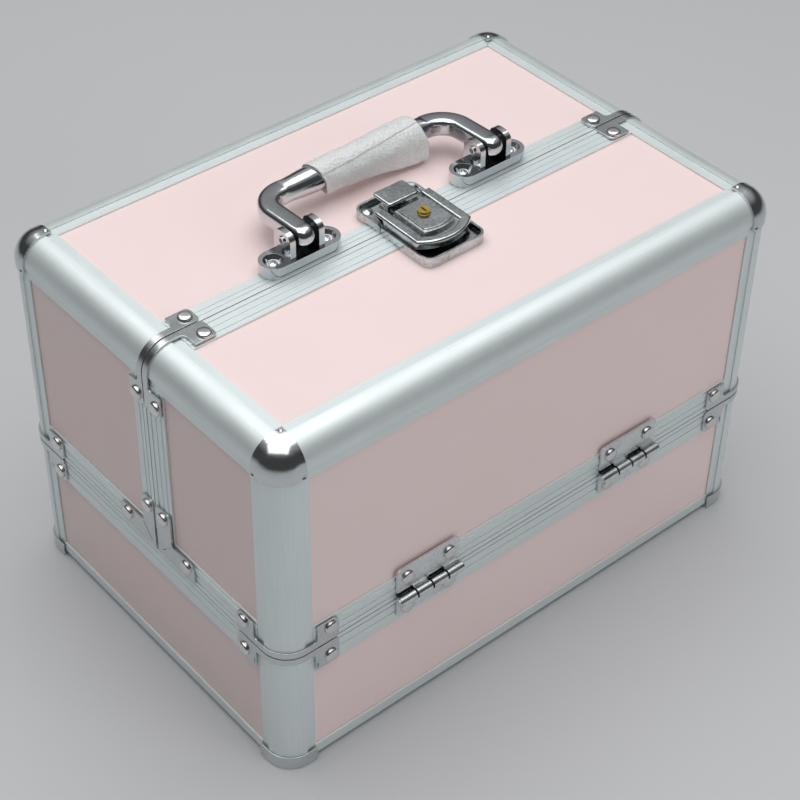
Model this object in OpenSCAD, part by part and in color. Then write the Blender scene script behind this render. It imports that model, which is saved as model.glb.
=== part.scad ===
// Aluminium-framed makeup case. The base box carries two half lids that swing out to the front
// and to the rear. Each lid carries two trays on link arms, which keep them level as it opens.
// X runs left to right, Y front to rear, Z up. The origin is the middle of the base, on the floor.
// Lid parts are drawn once, for the front lid, and mirrored in Y for the rear lid.

/* [Case] */
// Length of the case, left to right
case_l = 300; // [260:1:360]
// Depth of the case, front to rear
case_d = 204; // [196:1:250]
// Height of the case, without the handle and latch
case_h = 197; // [190:1:240]
// Height of the seam between the base and the lids
seam_z = 76; // [60:1:90]
// How far the lids' parting line lies in front of the middle
part_offset = 9; // [6:1:12]

/* [Frame] */
// Radius of the round on the edge extrusions and corner posts
edge_r = 13; // [11:0.5:14]
// Reach of an edge extrusion over each face
edge_w = 18; // [17:0.5:20]
// Height of the lids' rim strips
lid_rim_w = 13; // [12:0.5:15]
// Height of the base's rim strips
base_rim_w = 15; // [13:0.5:17]
// Width of the front lid's meeting strips
front_meet_w = 12.5; // [11:0.5:14]
// Width of the rear lid's meeting strips
rear_meet_w = 10.5; // [9:0.5:12]
// Thickness of the laminated panels
panel_t = 4; // [3:0.5:4]

/* [Hinges] */
// Middle of each lid hinge along the case
hinge_x = [-66.5, 62];
// Width of a hinge leaf
leaf_w = 37; // [32:1:42]
// Reach of the upper leaf above the seam
upper_leaf_h = 18; // [16:0.5:20]
// Reach of the lower leaf below the seam
lower_leaf_h = 11.5; // [10:0.5:13]
// Outer radius of the rolled knuckles
knuckle_r = 2.6; // [2.4:0.1:2.8]

/* [Handle] */
// Middle of the handle along the case
handle_x = -1.2; // [-5:0.1:5]
// Distance between the middles of the two handle brackets
bracket_span = 113; // [104:1:124]
// Reach of the handle from its pivots to the middle of the grip
handle_reach = 31.2; // [29:0.1:40]
// Angle by which the resting handle falls below the level
handle_fall = 2.9; // [0:0.1:4]
// Radius of the bare grip
grip_r = 6.6; // [6:0.1:7]

/* [Latch] */
// Half width of the latch plates
latch_half_w = 18; // [17:0.5:20]
// Reach of the latch base in front of the parting line
latch_reach = 33.5; // [32:0.5:38]

/* [Trays] */
// Outer height of a tray
tray_h = 28; // [24:1:28]
// Wall thickness of a tray
tray_t = 2; // [1.5:0.25:2.5]

/* [Hidden] */
$fn = 64;
hx = case_l / 2;
hy = case_d / 2;
// Half of the gap at the seam and at the parting line
half_gap = 0.3;
lid_z = seam_z + half_gap;
base_top = seam_z - half_gap;
// Depths below the outer face: panel face, slot sides, inner leg
panel_in = 1.6;
slot_play = 0.1;
slot_out = panel_in - slot_play;
slot_in = panel_in + panel_t + slot_play;
leg_t = 1.2;
leg_in = slot_in + leg_t;
// Edge extrusions: flange step and how far the panels reach into them
flange_step = 0.7;
slot_end = edge_r - 3.5;
panel_start = slot_end + 0.5;
// Strips: web thickness, start of the panel in the channel, reach of the inner leg
web_t = 1.5;
strip_panel = web_t + 0.5;
strip_leg = 9;
// Bottom frame
foot_t = 1;
bottom_h = 9;
bottom_panel_z = foot_t + 1.2;
base_panel_z = bottom_panel_z + panel_t + 1.8;
floor_in = leg_in + 0.6;
// Sheet metal brackets and corner caps
plate_t = 1;
bracket_reach = edge_w + 13.5;
bracket_band = 3.5;
cap_reach = edge_w - 2;
angle_inset = 0.6;
rivet_u = edge_w + 8.8;
// Rivets
rivet_r = 3.6;
rivet_dome = 1.7;
shank_r = 1.5;
hole_r = shank_r + 0.08;
strip_skin = slot_out;
// Hinge axis, in front of the front face at seam height
axis_out = 3;
pin_r = 1.3;
run_fit = 0.08;
leaf_t = 1.2;
knuckle_count = 4;
knuckle_gap = 0.3;
knuckle_len = (leaf_w - knuckle_gap * (knuckle_count - 1)) / knuckle_count;
// Link arms and trays. Pivots are given from the hinge axis, as [inward, up]
arm_t = 1.5;
arm_w = 9;
arm_in = leg_in + 1.2;
arm_base = [22, -5];
lower_pivot = [33, 33];
upper_pivot = [56, 56];
tray_in = arm_in + arm_t + 1.4;
tray_front = 15;
lower_tray_z = seam_z + lower_pivot[1] - 16;
upper_tray_z = seam_z + upper_pivot[1] - 8;
stud_r = 2;
stud_bore = stud_r + run_fit;
// Room round the tray studs in the arms' upper holes
open_pivot_r = stud_r + 0.3;
// Latch. Heights are above the strips
latch_floor = 1.2;
latch_rim_t = 1.2;
rim_top = 3.6;
lever_top = 8;
lever_t = 1.2;
lever_under = lever_top - lever_t;
lever_skirt = rim_top + 0.4;
lever_half_w = latch_half_w - latch_rim_t - 0.3;
lever_far = -part_offset + 6;
lever_side_y = -part_offset - 23.5;
lever_near_y = -part_offset - 29.8;
// Pivot of the lever, as [y, height], and the ears that carry it
lever_axis = [-part_offset - 1.6, 5.2];
lever_pin_r = 0.8;
ear_t = 1.3;
ear_r = 1.3;
ear_in = lever_half_w - 3.1;
// Lock plate in the lever's window, and the hook that it puts under the strike tab
window_half_w = 10.9;
lock_half_w = 9.3;
lock_far = -part_offset + 0.3;
lock_side_y = -part_offset - 20.5;
lock_near_y = -part_offset - 22.5;
lock_top = 9.4;
hook_lap = 0.7;
// Strike tab and the plate under it
tab_half_w = 9.3;
tab_near = -part_offset + 4;
tab_far = -part_offset + 16.9;
tab_z = 8.6;
catch_far = -part_offset + 20.5;
key_r = 3;
key_y = -part_offset - 9.5;
// Handle pivot, from the middle and above the strips
pivot_y = -0.3;
pivot_z = 14.2;
handle_pin_r = 2.2;
// Section of the handle's arms, across and in height, and the bend at its corners
bar_w = 10.4;
bar_h = 9.4;
bar_round = 2.8;
elbow_r = 13;
hub_r = 6.2;
hub_half = bar_w / 2 + 0.2;
ear_gap = hub_half + 1;
handle_ear_t = 3.3;
handle_ear_r = 5.6;
bracket_half_l = 21.7;
bracket_half_w = 7.3;
bracket_base_t = 6;
screw_out = 15;
screw_head_r = 3;
screw_sink = 2.2;
film_x = [-23.8, 38.2];
film_r = [grip_r + 1, grip_r + 3.4];

silver = [0.80, 0.84, 0.84];
chrome = [0.62, 0.64, 0.65];
pink = [0.95, 0.85, 0.83];
grey = [0.25, 0.25, 0.27];

// ---- Places ----

// A child drawn for the front half, on the front or on the rear
module on_half(front) {
    mirror([0, front ? 0 : 1, 0]) children();
}

// A child drawn from the left outer face inward, on both ends of the case
module both_ends() {
    for (s = [0, 1])
        mirror([s, 0, 0])
            translate([-hx, 0, 0])
                children();
}

// A child drawn from the left front corner inward, on both front corners
module both_corners() {
    both_ends() translate([0, -hy, 0]) children();
}

// All four vertical corners
module four_corners() {
    for (front = [true, false])
        on_half(front) both_corners() children();
}

// A 2D shape in (y, z), extruded along X over the given span
module along_x(from, to) {
    translate([from, 0, 0])
        rotate([90, 0, 90])
            linear_extrude(to - from)
                children();
}

// A 2D shape in (x, z), extruded along Y over the given span
module along_y(from, to) {
    translate([0, to, 0])
        rotate([90, 0, 0])
            linear_extrude(to - from)
                children();
}

// The corner between an end face and the top, seen from the parting line outward
module from_parting(front) {
    translate([0, part_y(front), case_h])
        rotate([90, 0, 0])
            mirror([0, 1, 0])
                children();
}

// A child drawn with +Z out of the left face; x is measured from that face
module on_end_face(y, z, out = 0) {
    translate([-out, y, z]) rotate([0, -90, 0]) children();
}

// Each hinge of the front half, with x along the barrel and the origin on the axis
module each_hinge(front) {
    on_half(front)
        for (x = hinge_x)
            translate([x, -hy - axis_out, seam_z])
                children();
}

// Y of a lid's parting face, in the half that the lid is drawn in
function part_y(front) = (front ? -part_offset : part_offset) - half_gap;
function meet_w(front) = front ? front_meet_w : rear_meet_w;
// Distance of a meeting strip's rivets from the parting face
function meet_rivet(front) = front ? 8.5 : 5.2;

// ---- Profiles ----

// Quarter of a rounded square, in the corner at the origin
module rounded_quarter(r, size) {
    intersection() {
        translate([r, r]) circle(r);
        square([r, r]);
    }
    translate([r, 0]) square([size - r, size]);
    translate([0, r]) square([size, size - r]);
}

// Edge extrusion: round nose, stepped flanges, and a slot for the panel on each side
module edge_profile() {
    difference() {
        union() {
            intersection() {
                translate([edge_r, edge_r]) circle(edge_r);
                square([edge_r, edge_r]);
            }
            translate([edge_r, flange_step]) square([edge_w - edge_r, leg_in - flange_step]);
            translate([flange_step, edge_r]) square([leg_in - flange_step, edge_w - edge_r]);
        }
        translate([slot_end, slot_out]) square([edge_w, slot_in - slot_out]);
        translate([slot_out, slot_end]) square([slot_in - slot_out, edge_w]);
        translate([leg_in, leg_in]) square([edge_w, edge_w]);
    }
}

// Strip along a seam: x is the depth below the face, y the distance from the seam
module strip_profile(w) {
    bead_w = 2.4;
    groove_w = 0.9;
    lip_w = 2.6;
    difference() {
        union() {
            square([leg_in, web_t]);
            square([slot_out, bead_w]);
            translate([0.5, 0]) square([slot_out - 0.5, w]);
            translate([0.15, bead_w + groove_w]) square([1, w - bead_w - groove_w - lip_w]);
            translate([slot_in, 0]) square([leg_t, strip_leg]);
        }
        translate([-0.1, (w + bead_w - lip_w) / 2]) square([0.55, groove_w]);
    }
}

// Slim angle along the bottom edge: x is the depth below the face, y the height
module bottom_profile() {
    face_in = 0.4;
    round_r = 3;
    core = 7;
    difference() {
        union() {
            translate([face_in + round_r, foot_t + round_r]) circle(round_r);
            translate([face_in + round_r, foot_t]) square([13.6 - face_in - round_r, 6.4]);
            translate([face_in, foot_t + round_r]) square([leg_in - face_in, bottom_h + 3 - round_r]);
        }
        translate([face_in - 1, bottom_h]) square([slot_in - face_in + 1, 5]);
        translate([slot_out, base_panel_z - 0.6]) square([slot_in - slot_out, 10]);
        translate([core, bottom_panel_z - 0.1]) square([10, panel_t + 0.2]);
    }
}

// Rectangle about the origin with round corners
module rounded_rect(w, h, r) {
    square([w - 2 * r, h], center = true);
    square([w, h - 2 * r], center = true);
    for (x = [r - w / 2, w / 2 - r])
        for (y = [r - h / 2, h / 2 - r])
            translate([x, y]) circle(r);
}

// ---- Panels ----

module base_floor_panel() {
    color(grey)
        translate([-hx + floor_in, -hy + floor_in, bottom_panel_z])
            cube([case_l - 2 * floor_in, case_d - 2 * floor_in, panel_t]);
}

module base_wall_panels() {
    panel_h = base_top - strip_panel - base_panel_z;
    color(pink) {
        for (front = [true, false])
            on_half(front)
                translate([-hx + panel_start, -hy + panel_in, base_panel_z])
                    cube([case_l - 2 * panel_start, panel_t, panel_h]);
        both_ends()
            translate([panel_in, -hy + panel_start, base_panel_z])
                cube([panel_t, case_d - 2 * panel_start, panel_h]);
    }
}

// Foam mat on the floor of the base
module base_floor_mat() {
    mat_t = 2;
    mat_in = floor_in + 0.1;
    color(grey)
        translate([-hx + mat_in, -hy + mat_in, bottom_panel_z + panel_t + 1.3])
            cube([case_l - 2 * mat_in, case_d - 2 * mat_in, mat_t]);
}

module lid_top_panel(front) {
    y0 = -hy + panel_start;
    color(pink)
        on_half(front)
            translate([-hx + panel_start, y0, case_h - panel_in - panel_t])
                cube([case_l - 2 * panel_start, part_y(front) - strip_panel - y0, panel_t]);
}

// The long outer wall and the two end walls of a lid
module lid_wall_panels(front) {
    y0 = -hy + panel_start;
    z0 = lid_z + strip_panel;
    panel_h = case_h - panel_start - z0;
    color(pink)
        on_half(front) {
            translate([-hx + panel_start, -hy + panel_in, z0])
                cube([case_l - 2 * panel_start, panel_t, panel_h]);
            both_ends()
                translate([panel_in, y0, z0])
                    cube([panel_t, part_y(front) - strip_panel - y0, panel_h]);
        }
}

// ---- Frame ----

module base_bottom_frame() {
    color(silver) {
        for (front = [true, false])
            on_half(front)
                along_x(-hx + edge_w, hx - edge_w)
                    translate([-hy, 0])
                        bottom_profile();
        both_ends()
            along_y(-hy + edge_w, hy - edge_w)
                bottom_profile();
    }
}

module base_corner_posts() {
    color(silver)
        four_corners()
            translate([0, 0, foot_t])
                linear_extrude(base_top - foot_t)
                    edge_profile();
}

module base_rim_strips() {
    color(silver)
        difference() {
            union() {
                for (front = [true, false])
                    on_half(front)
                        along_x(-hx + edge_w, hx - edge_w)
                            translate([-hy, base_top])
                                mirror([0, 1])
                                    strip_profile(base_rim_w);
                both_ends()
                    along_y(-hy + edge_w, hy - edge_w)
                        translate([0, base_top])
                            mirror([0, 1])
                                strip_profile(base_rim_w);
            }
            base_rivet_places() rivet_hole();
        }
}

// What a length that runs along X loses at the mitres of a corner, with the corner at the origin
module past_mitre() {
    size = 2 * edge_w;
    joint = 0.05;
    rotate([0, 0, 45]) translate([-joint, -joint, -1]) cube(size);
    rotate([0, -45, 0]) translate([-joint, -1, -joint]) cube(size);
}

// A child drawn from the corner inward and downward, at the top of the case
module down_from_top() {
    translate([0, 0, case_h]) mirror([0, 0, 1]) children();
}

// The three lengths at a ball corner are mitred, and reach in under the corner cap
module lid_top_edges(front) {
    color(silver)
        on_half(front) {
            difference() {
                along_x(-hx + edge_r, hx - edge_r)
                    translate([-hy, case_h])
                        mirror([0, 1])
                            edge_profile();
                both_corners() down_from_top() past_mitre();
            }
            both_ends()
                difference() {
                    along_y(-hy + edge_r, part_y(front))
                        translate([0, case_h])
                            mirror([0, 1])
                                edge_profile();
                    translate([0, -hy, 0]) down_from_top() mirror([1, -1, 0]) past_mitre();
                }
        }
}

module lid_corner_posts(front) {
    color(silver)
        on_half(front)
            both_corners()
                difference() {
                    translate([0, 0, lid_z])
                        linear_extrude(case_h - edge_r - lid_z)
                            edge_profile();
                    down_from_top() mirror([1, 0, -1]) past_mitre();
                }
}

module lid_rim_strips(front) {
    color(silver)
        on_half(front)
            difference() {
                union() {
                    along_x(-hx + edge_w, hx - edge_w)
                        translate([-hy, lid_z])
                            strip_profile(lid_rim_w);
                    both_ends()
                        along_y(-hy + edge_w, part_y(front))
                            translate([0, lid_z])
                                strip_profile(lid_rim_w);
                }
                lid_rivet_places(front) rivet_hole();
            }
}

// The strip along the top and the two upright strips at a lid's parting face
module lid_meeting_strips(front) {
    z0 = lid_z + lid_rim_w;
    color(silver)
        on_half(front)
            difference() {
                union() {
                    along_x(-hx + edge_w, hx - edge_w)
                        translate([part_y(front), case_h])
                            rotate(180)
                                mirror([1, -1])
                                    strip_profile(meet_w(front));
                    both_ends()
                        translate([0, part_y(front), z0])
                            linear_extrude(case_h - edge_w - z0)
                                mirror([0, 1])
                                    strip_profile(meet_w(front));
                }
                lid_rivet_places(front) rivet_hole();
            }
}

// ---- Corner fittings ----

// Solid corner of a cube with rounded edges and a ball at the corner
module ball_corner(r, size) {
    flat = size - r;
    intersection() {
        cube(size);
        union() {
            translate([r, r, r]) {
                sphere(r);
                cylinder(r = r, h = flat);
                rotate([0, 90, 0]) cylinder(r = r, h = flat);
                rotate([-90, 0, 0]) cylinder(r = r, h = flat);
            }
            translate([r, r, 0]) cube([flat, flat, size]);
            translate([r, 0, r]) cube([flat, size, flat]);
            translate([0, r, r]) cube([size, flat, flat]);
        }
    }
}

// Pressed ball corner over the ends of the two top edges and the post, with a dimple at each tip
module lid_corner_caps(front) {
    dimple_r = 1.4;
    dimple_out = 0.8;
    tip = cap_reach - 1.9;
    color(chrome)
        on_half(front)
            both_corners()
                down_from_top()
                    difference() {
                        translate([-plate_t, -plate_t, -plate_t])
                            ball_corner(edge_r + plate_t, cap_reach + plate_t);
                        ball_corner(edge_r, cap_reach + 1);
                        for (p = [[tip, tip, 0], [tip, 0, tip], [0, tip, tip]])
                            translate([for (c = p) c == 0 ? -plate_t - dimple_out : c])
                                sphere(dimple_r);
                    }
}

// Small cup under each bottom corner; the case stands on these
module base_foot_caps() {
    reach = edge_w + 0.2;
    cup_h = 8;
    color(chrome)
        four_corners()
            difference() {
                translate([-plate_t, -plate_t, 0])
                    linear_extrude(cup_h)
                        rounded_quarter(edge_r + plate_t, reach + plate_t);
                translate([0, 0, foot_t])
                    linear_extrude(cup_h)
                        rounded_quarter(edge_r, reach + 1);
            }
}

// Outline of a bracket's tab: x from the corner, y from the seam
module tab_outline(tab_w, rivet_y, root) {
    corner_r = 2.6;
    fillet_r = 2.5;
    start = edge_w - 1;
    difference() {
        union() {
            translate([start, 0]) square([bracket_reach - corner_r - start, bracket_band]);
            translate([root, 0]) square([bracket_reach - corner_r - root, tab_w]);
            translate([root, corner_r]) square([bracket_reach - root, tab_w - 2 * corner_r]);
            for (y = [corner_r, tab_w - corner_r])
                translate([bracket_reach - corner_r, y]) circle(corner_r);
            translate([root - fillet_r, bracket_band]) square(fillet_r);
        }
        translate([root - fillet_r, bracket_band + fillet_r]) circle(fillet_r);
        translate([rivet_u, rivet_y]) circle(hole_r);
    }
}

// Bracket that wraps a rounded corner with a narrow band and has a riveted tab on each face
module wrap_bracket(tab_w, rivet_y, root) {
    linear_extrude(bracket_band)
        difference() {
            translate([-plate_t, -plate_t]) rounded_quarter(edge_r + plate_t, edge_w + plate_t);
            rounded_quarter(edge_r, edge_w + 1);
        }
    for (swap = [false, true])
        mirror([swap ? 1 : 0, swap ? -1 : 0, 0])
            rotate([90, 0, 0])
                linear_extrude(plate_t)
                    tab_outline(tab_w, rivet_y, root);
}

// The base's brackets have a slit beside the post, where the tab was folded
module base_seam_brackets() {
    tab_w = base_rim_w - 1;
    slit = [0.6, 3];
    color(chrome)
        four_corners()
            translate([0, 0, base_top])
                mirror([0, 0, 1])
                    difference() {
                        wrap_bracket(tab_w, 9, edge_w + 0.3);
                        for (swap = [0, 1])
                            mirror([swap, -swap, 0])
                                translate([edge_w + 0.9, -plate_t - 1, tab_w - slit[1] - 1.6])
                                    cube([slit[0], plate_t + 2, slit[1]]);
                    }
}

module lid_seam_brackets(front) {
    color(chrome)
        on_half(front)
            both_corners()
                translate([0, 0, lid_z])
                    wrap_bracket(lid_rim_w - 0.4, 8.4, edge_w + 1.5);
}

module lid_wrap_brackets(front) {
    color(chrome)
        on_half(front)
            both_ends()
                from_parting(front)
                    wrap_bracket(meet_w(front) - 0.4, meet_rivet(front), edge_w + 1.5);
}

// Angle bracket at the foot of an upright strip: (x, y) from the parting face and the seam
module angle_outline(leg_w) {
    corner_r = 2.6;
    rise = 31;
    run = 29;
    foot = lid_rim_w - 0.8;
    inset = angle_inset;
    difference() {
        union() {
            translate([inset, inset]) square([leg_w, rise - inset - corner_r]);
            translate([inset, inset]) square([run - inset - corner_r, foot - inset]);
            translate([inset + corner_r, rise - corner_r]) square([leg_w - 2 * corner_r, corner_r]);
            translate([run - corner_r, inset + corner_r])
                square([corner_r, foot - inset - 2 * corner_r]);
            for (x = [inset + corner_r, inset + leg_w - corner_r])
                translate([x, rise - corner_r]) circle(corner_r);
            for (y = [inset + corner_r, foot - corner_r])
                translate([run - corner_r, y]) circle(corner_r);
        }
        for (p = angle_rivets(leg_w))
            translate(p) circle(hole_r);
    }
}

// Rivets of an angle bracket, from the parting face and the seam
function angle_rivets(leg_w) = [[angle_inset + leg_w / 2, 25.5], [23, 8]];

// The bracket with a scored mitre line from its inner corner
module angle_bracket(leg_w) {
    score = [10, 0.45, 0.5];
    inner = [angle_inset + leg_w, lid_rim_w - 0.8];
    difference() {
        linear_extrude(plate_t) angle_outline(leg_w);
        translate([inner[0], inner[1], plate_t])
            rotate(atan2(inner[1], inner[0]))
                translate([-score[0], -score[1] / 2, -score[2]])
                    cube([score[0] + 1, score[1], 1]);
    }
}

module lid_angle_brackets(front) {
    color(chrome)
        on_half(front)
            both_ends()
                translate([0, part_y(front), lid_z])
                    rotate([0, -90, 0])
                        mirror([1, 1, 0])
                            rotate(180)
                                mirror([1, 0, 0])
                                    angle_bracket(meet_w(front) - 2 * angle_inset);
}

// ---- Rivets ----

// Domed head on the surface, shank below it
module rivet(grip, head_r = rivet_r, dome = rivet_dome) {
    ball_r = (head_r * head_r + dome * dome) / (2 * dome);
    intersection() {
        translate([0, 0, dome - ball_r]) sphere(ball_r);
        cylinder(r = head_r, h = dome + 1);
    }
    translate([0, 0, -grip]) cylinder(r = shank_r, h = grip + 0.2);
}

module rivet_hole() {
    translate([0, 0, -plate_t - strip_skin - 0.1]) cylinder(r = hole_r, h = 5);
}

// Every rivet of the base, with +Z outward from the bracket's face
module base_rivet_places() {
    z = base_top - 9;
    for (front = [true, false])
        on_half(front)
            both_ends() {
                translate([0, -hy, 0]) {
                    on_end_face(rivet_u, z, plate_t) children();
                    translate([rivet_u, -plate_t, z]) rotate([90, 0, 0]) children();
                }
            }
}

// Every rivet of a lid's brackets, with +Z outward from the bracket's face
module lid_rivet_places(front) {
    y0 = part_y(front);
    corner_z = lid_z + 8.4;
    both_ends() {
        translate([0, -hy, 0]) {
            on_end_face(rivet_u, corner_z, plate_t) children();
            translate([rivet_u, -plate_t, corner_z]) rotate([90, 0, 0]) children();
        }
        on_end_face(y0 - meet_rivet(front), case_h - rivet_u, plate_t) children();
        translate([rivet_u, y0 - meet_rivet(front), case_h + plate_t]) children();
        for (p = angle_rivets(meet_w(front) - 2 * angle_inset))
            on_end_face(y0 - p[0], lid_z + p[1], plate_t) children();
    }
}

module base_rivets() {
    color(chrome) {
        base_rivet_places() rivet(plate_t + strip_skin);
        for (front = [true, false])
            each_hinge(front)
                leaf_rivet_places(false)
                    rivet(leaf_t);
    }
}

module lid_rivets(front) {
    color(chrome) {
        on_half(front)
            lid_rivet_places(front)
                rivet(plate_t + strip_skin);
        each_hinge(front)
            leaf_rivet_places(true)
                rivet(leaf_t);
    }
}

// ---- Hinges ----

// Rivets of a leaf, from the hinge axis, with +Z outward
module leaf_rivet_places(upper) {
    z = upper ? upper_leaf_h - 6.5 : -7.4;
    out = leaf_w / 2 - 6;
    for (x = [-out, out])
        translate([x, axis_out - leaf_t, z])
            rotate([90, 0, 0])
                children();
}

// Start of a knuckle along the barrel
function knuckle_x(i) = -leaf_w / 2 + i * (knuckle_len + knuckle_gap);

// A plate with its own knuckles, cleared round the other leaf's knuckles
module hinge_leaf(upper) {
    leaf_h = upper ? upper_leaf_h : lower_leaf_h;
    corner_r = 2;
    own = upper ? [1, 3] : [0, 2];
    others = upper ? [0, 2] : [1, 3];
    difference() {
        union() {
            translate([0, axis_out, 0])
                rotate([90, 0, 0])
                    linear_extrude(leaf_t)
                        mirror([0, upper ? 0 : 1])
                            leaf_outline(leaf_h, corner_r);
            for (i = own)
                translate([knuckle_x(i), 0, 0])
                    rotate([0, 90, 0])
                        cylinder(r = knuckle_r, h = knuckle_len);
        }
        for (i = others)
            translate([knuckle_x(i) - knuckle_gap, 0, 0])
                rotate([0, 90, 0])
                    cylinder(r = knuckle_r + 0.3, h = knuckle_len + 2 * knuckle_gap);
        translate([-leaf_w, 0, 0])
            rotate([0, 90, 0])
                cylinder(r = pin_r + run_fit, h = 2 * leaf_w);
        leaf_rivet_places(upper)
            translate([0, 0, -3])
                cylinder(r = hole_r, h = 6);
    }
}

// Leaf outline: x along the barrel, y away from the axis, round outer corners
module leaf_outline(leaf_h, corner_r) {
    start = 0.4;
    translate([-leaf_w / 2, start]) square([leaf_w, leaf_h - corner_r - start]);
    translate([-leaf_w / 2 + corner_r, start]) square([leaf_w - 2 * corner_r, leaf_h - start]);
    for (x = [-leaf_w / 2 + corner_r, leaf_w / 2 - corner_r])
        translate([x, leaf_h - corner_r]) circle(corner_r);
}

module hinge_leaves(front, upper) {
    color(chrome) each_hinge(front) hinge_leaf(upper);
}

// Pins with a small upset head at each end
module hinge_pins(front) {
    head_r = knuckle_r - 0.5;
    color(chrome)
        each_hinge(front)
            translate([-leaf_w / 2, 0, 0])
                rotate([0, 90, 0]) {
                    cylinder(r = pin_r, h = leaf_w);
                    translate([0, 0, -0.8]) cylinder(r = head_r, h = 0.8);
                    translate([0, 0, leaf_w]) cylinder(r = head_r, h = 0.8);
                }
}

// ---- Link arms, studs and trays ----

// A point given from the hinge axis, in the front half's (y, z)
module at_pivot(p) {
    translate([0, -hy - axis_out + p[0], seam_z + p[1]]) children();
}

// A flat bar from the base stud through both tray pivots
module link_arms(front) {
    length = norm(upper_pivot);
    color(silver)
        on_half(front)
            both_ends()
                translate([arm_in, 0, 0])
                    at_pivot(arm_base)
                        rotate([45, 0, 0])
                            difference() {
                                union() {
                                    translate([0, 0, -arm_w / 2]) cube([arm_t, length, arm_w]);
                                    for (y = [0, length])
                                        translate([0, y, 0])
                                            rotate([0, 90, 0])
                                                cylinder(r = arm_w / 2, h = arm_t);
                                }
                                arm_hole(0, stud_bore);
                                arm_hole(norm(lower_pivot), open_pivot_r);
                                arm_hole(length, open_pivot_r);
                            }
}

module arm_hole(y, r) {
    translate([-1, y, 0])
        rotate([0, 90, 0])
            cylinder(r = r, h = arm_t + 2);
}

// Studs on the base's end walls that the arms turn on
module base_arm_studs() {
    color(chrome)
        for (front = [true, false])
            on_half(front)
                both_ends()
                    at_pivot(arm_base)
                        rotate([0, 90, 0]) {
                            translate([0, 0, leg_in]) cylinder(r = 4, h = arm_in - leg_in - 0.2);
                            translate([0, 0, leg_in]) cylinder(r = stud_r, h = arm_in - leg_in + arm_t + 0.2);
                            translate([0, 0, arm_in + arm_t + 0.1]) cylinder(r = 3.4, h = 0.9);
                        }
}

// Studs on a lid's end walls that the trays turn on
module lid_tray_studs(front) {
    wall = panel_in + panel_t;
    color(chrome)
        on_half(front)
            both_ends()
                for (p = [lower_pivot, upper_pivot])
                    at_pivot(p)
                        rotate([0, 90, 0]) {
                            translate([0, 0, wall]) cylinder(r = 4, h = 1);
                            translate([0, 0, wall]) cylinder(r = 3, h = tray_in - wall - 0.2);
                            translate([0, 0, wall]) cylinder(r = stud_r, h = tray_in - wall + tray_t + 0.4);
                            translate([0, 0, tray_in + tray_t + 0.2]) cylinder(r = 3.2, h = 0.9);
                        }
}

// Open tray with dividers, a bore at each end for the lid's stud and a stud for the arm
module tray(front, pivot, z0, cells) {
    y0 = -hy + tray_front;
    y1 = part_y(front) - 4;
    length = case_l - 2 * tray_in;
    inner = length - 2 * tray_t;
    color(grey)
        on_half(front) {
            difference() {
                translate([-length / 2, y0, z0]) cube([length, y1 - y0, tray_h]);
                difference() {
                    translate([-inner / 2, y0 + tray_t, z0 + tray_t])
                        cube([inner, y1 - y0 - 2 * tray_t, tray_h]);
                    for (i = [1 : cells - 1])
                        translate([-inner / 2 + i * inner / cells - 0.75, y0, z0])
                            cube([1.5, y1 - y0, tray_h - 3]);
                }
                both_ends()
                    at_pivot(pivot)
                        rotate([0, 90, 0])
                            translate([0, 0, tray_in - 1])
                                cylinder(r = stud_bore, h = tray_t + 2);
            }
            both_ends()
                at_pivot(pivot + arm_base)
                    rotate([0, 90, 0])
                        translate([0, 0, arm_in - 0.3])
                            cylinder(r = stud_r, h = tray_in + 0.5 - arm_in + 0.3);
        }
}

// ---- Latch ----

// D-shaped outline open at the parting line: from the parting face to a rounded far end
module latch_outline(half_w, near, far, corner_r) {
    sign = far > near ? 1 : -1;
    run = abs(far - near);
    translate([-half_w, min(near, far + corner_r)]) square([2 * half_w, run - corner_r]);
    translate([-half_w + corner_r, min(near, far)]) square([2 * (half_w - corner_r), run]);
    for (x = [-half_w + corner_r, half_w - corner_r])
        translate([x, far - sign * corner_r]) circle(corner_r);
}

// Shallow pan with a rim on three sides, stepped where it passes from the strip to the panel
module latch_pan(near, far, step_y) {
    corner_r = 5;
    sign = far > near ? 1 : -1;
    drop = panel_in;
    rim_t = latch_rim_t;
    difference() {
        union() {
            linear_extrude(rim_top) latch_outline(latch_half_w, near, far, corner_r);
            translate([0, 0, -drop])
                linear_extrude(drop + 0.5)
                    intersection() {
                        latch_outline(latch_half_w, near, far, corner_r);
                        translate([-latch_half_w, min(step_y, far)])
                            square([2 * latch_half_w, abs(far - step_y)]);
                    }
        }
        translate([0, 0, latch_floor])
            linear_extrude(rim_top)
                latch_outline(latch_half_w - rim_t, near - sign, far - sign * rim_t, corner_r - rim_t);
    }
}

// Pan on the front lid, with two ears that carry the lever
module latch_base() {
    near = -part_offset - half_gap;
    ear_back = 2.2;
    ear_from = latch_floor - 0.2;
    color(chrome)
        translate([0, 0, case_h]) {
            latch_pan(near, near - latch_reach, near - front_meet_w - 0.2);
            for (s = [0, 1])
                mirror([s, 0, 0])
                    difference() {
                        translate([ear_in, lever_axis[0], 0]) {
                            translate([0, -ear_back, ear_from])
                                cube([ear_t, ear_back + ear_r, lever_axis[1] - ear_from]);
                            translate([0, 0, lever_axis[1]])
                                rotate([0, 90, 0])
                                    cylinder(r = ear_r, h = ear_t);
                        }
                        lever_pin_bore(lever_pin_r + run_fit);
                    }
        }
}

module lever_pin_bore(r) {
    translate([ear_in - 1, lever_axis[0], lever_axis[1]])
        rotate([0, 90, 0])
            cylinder(r = r, h = 6);
}

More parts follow.
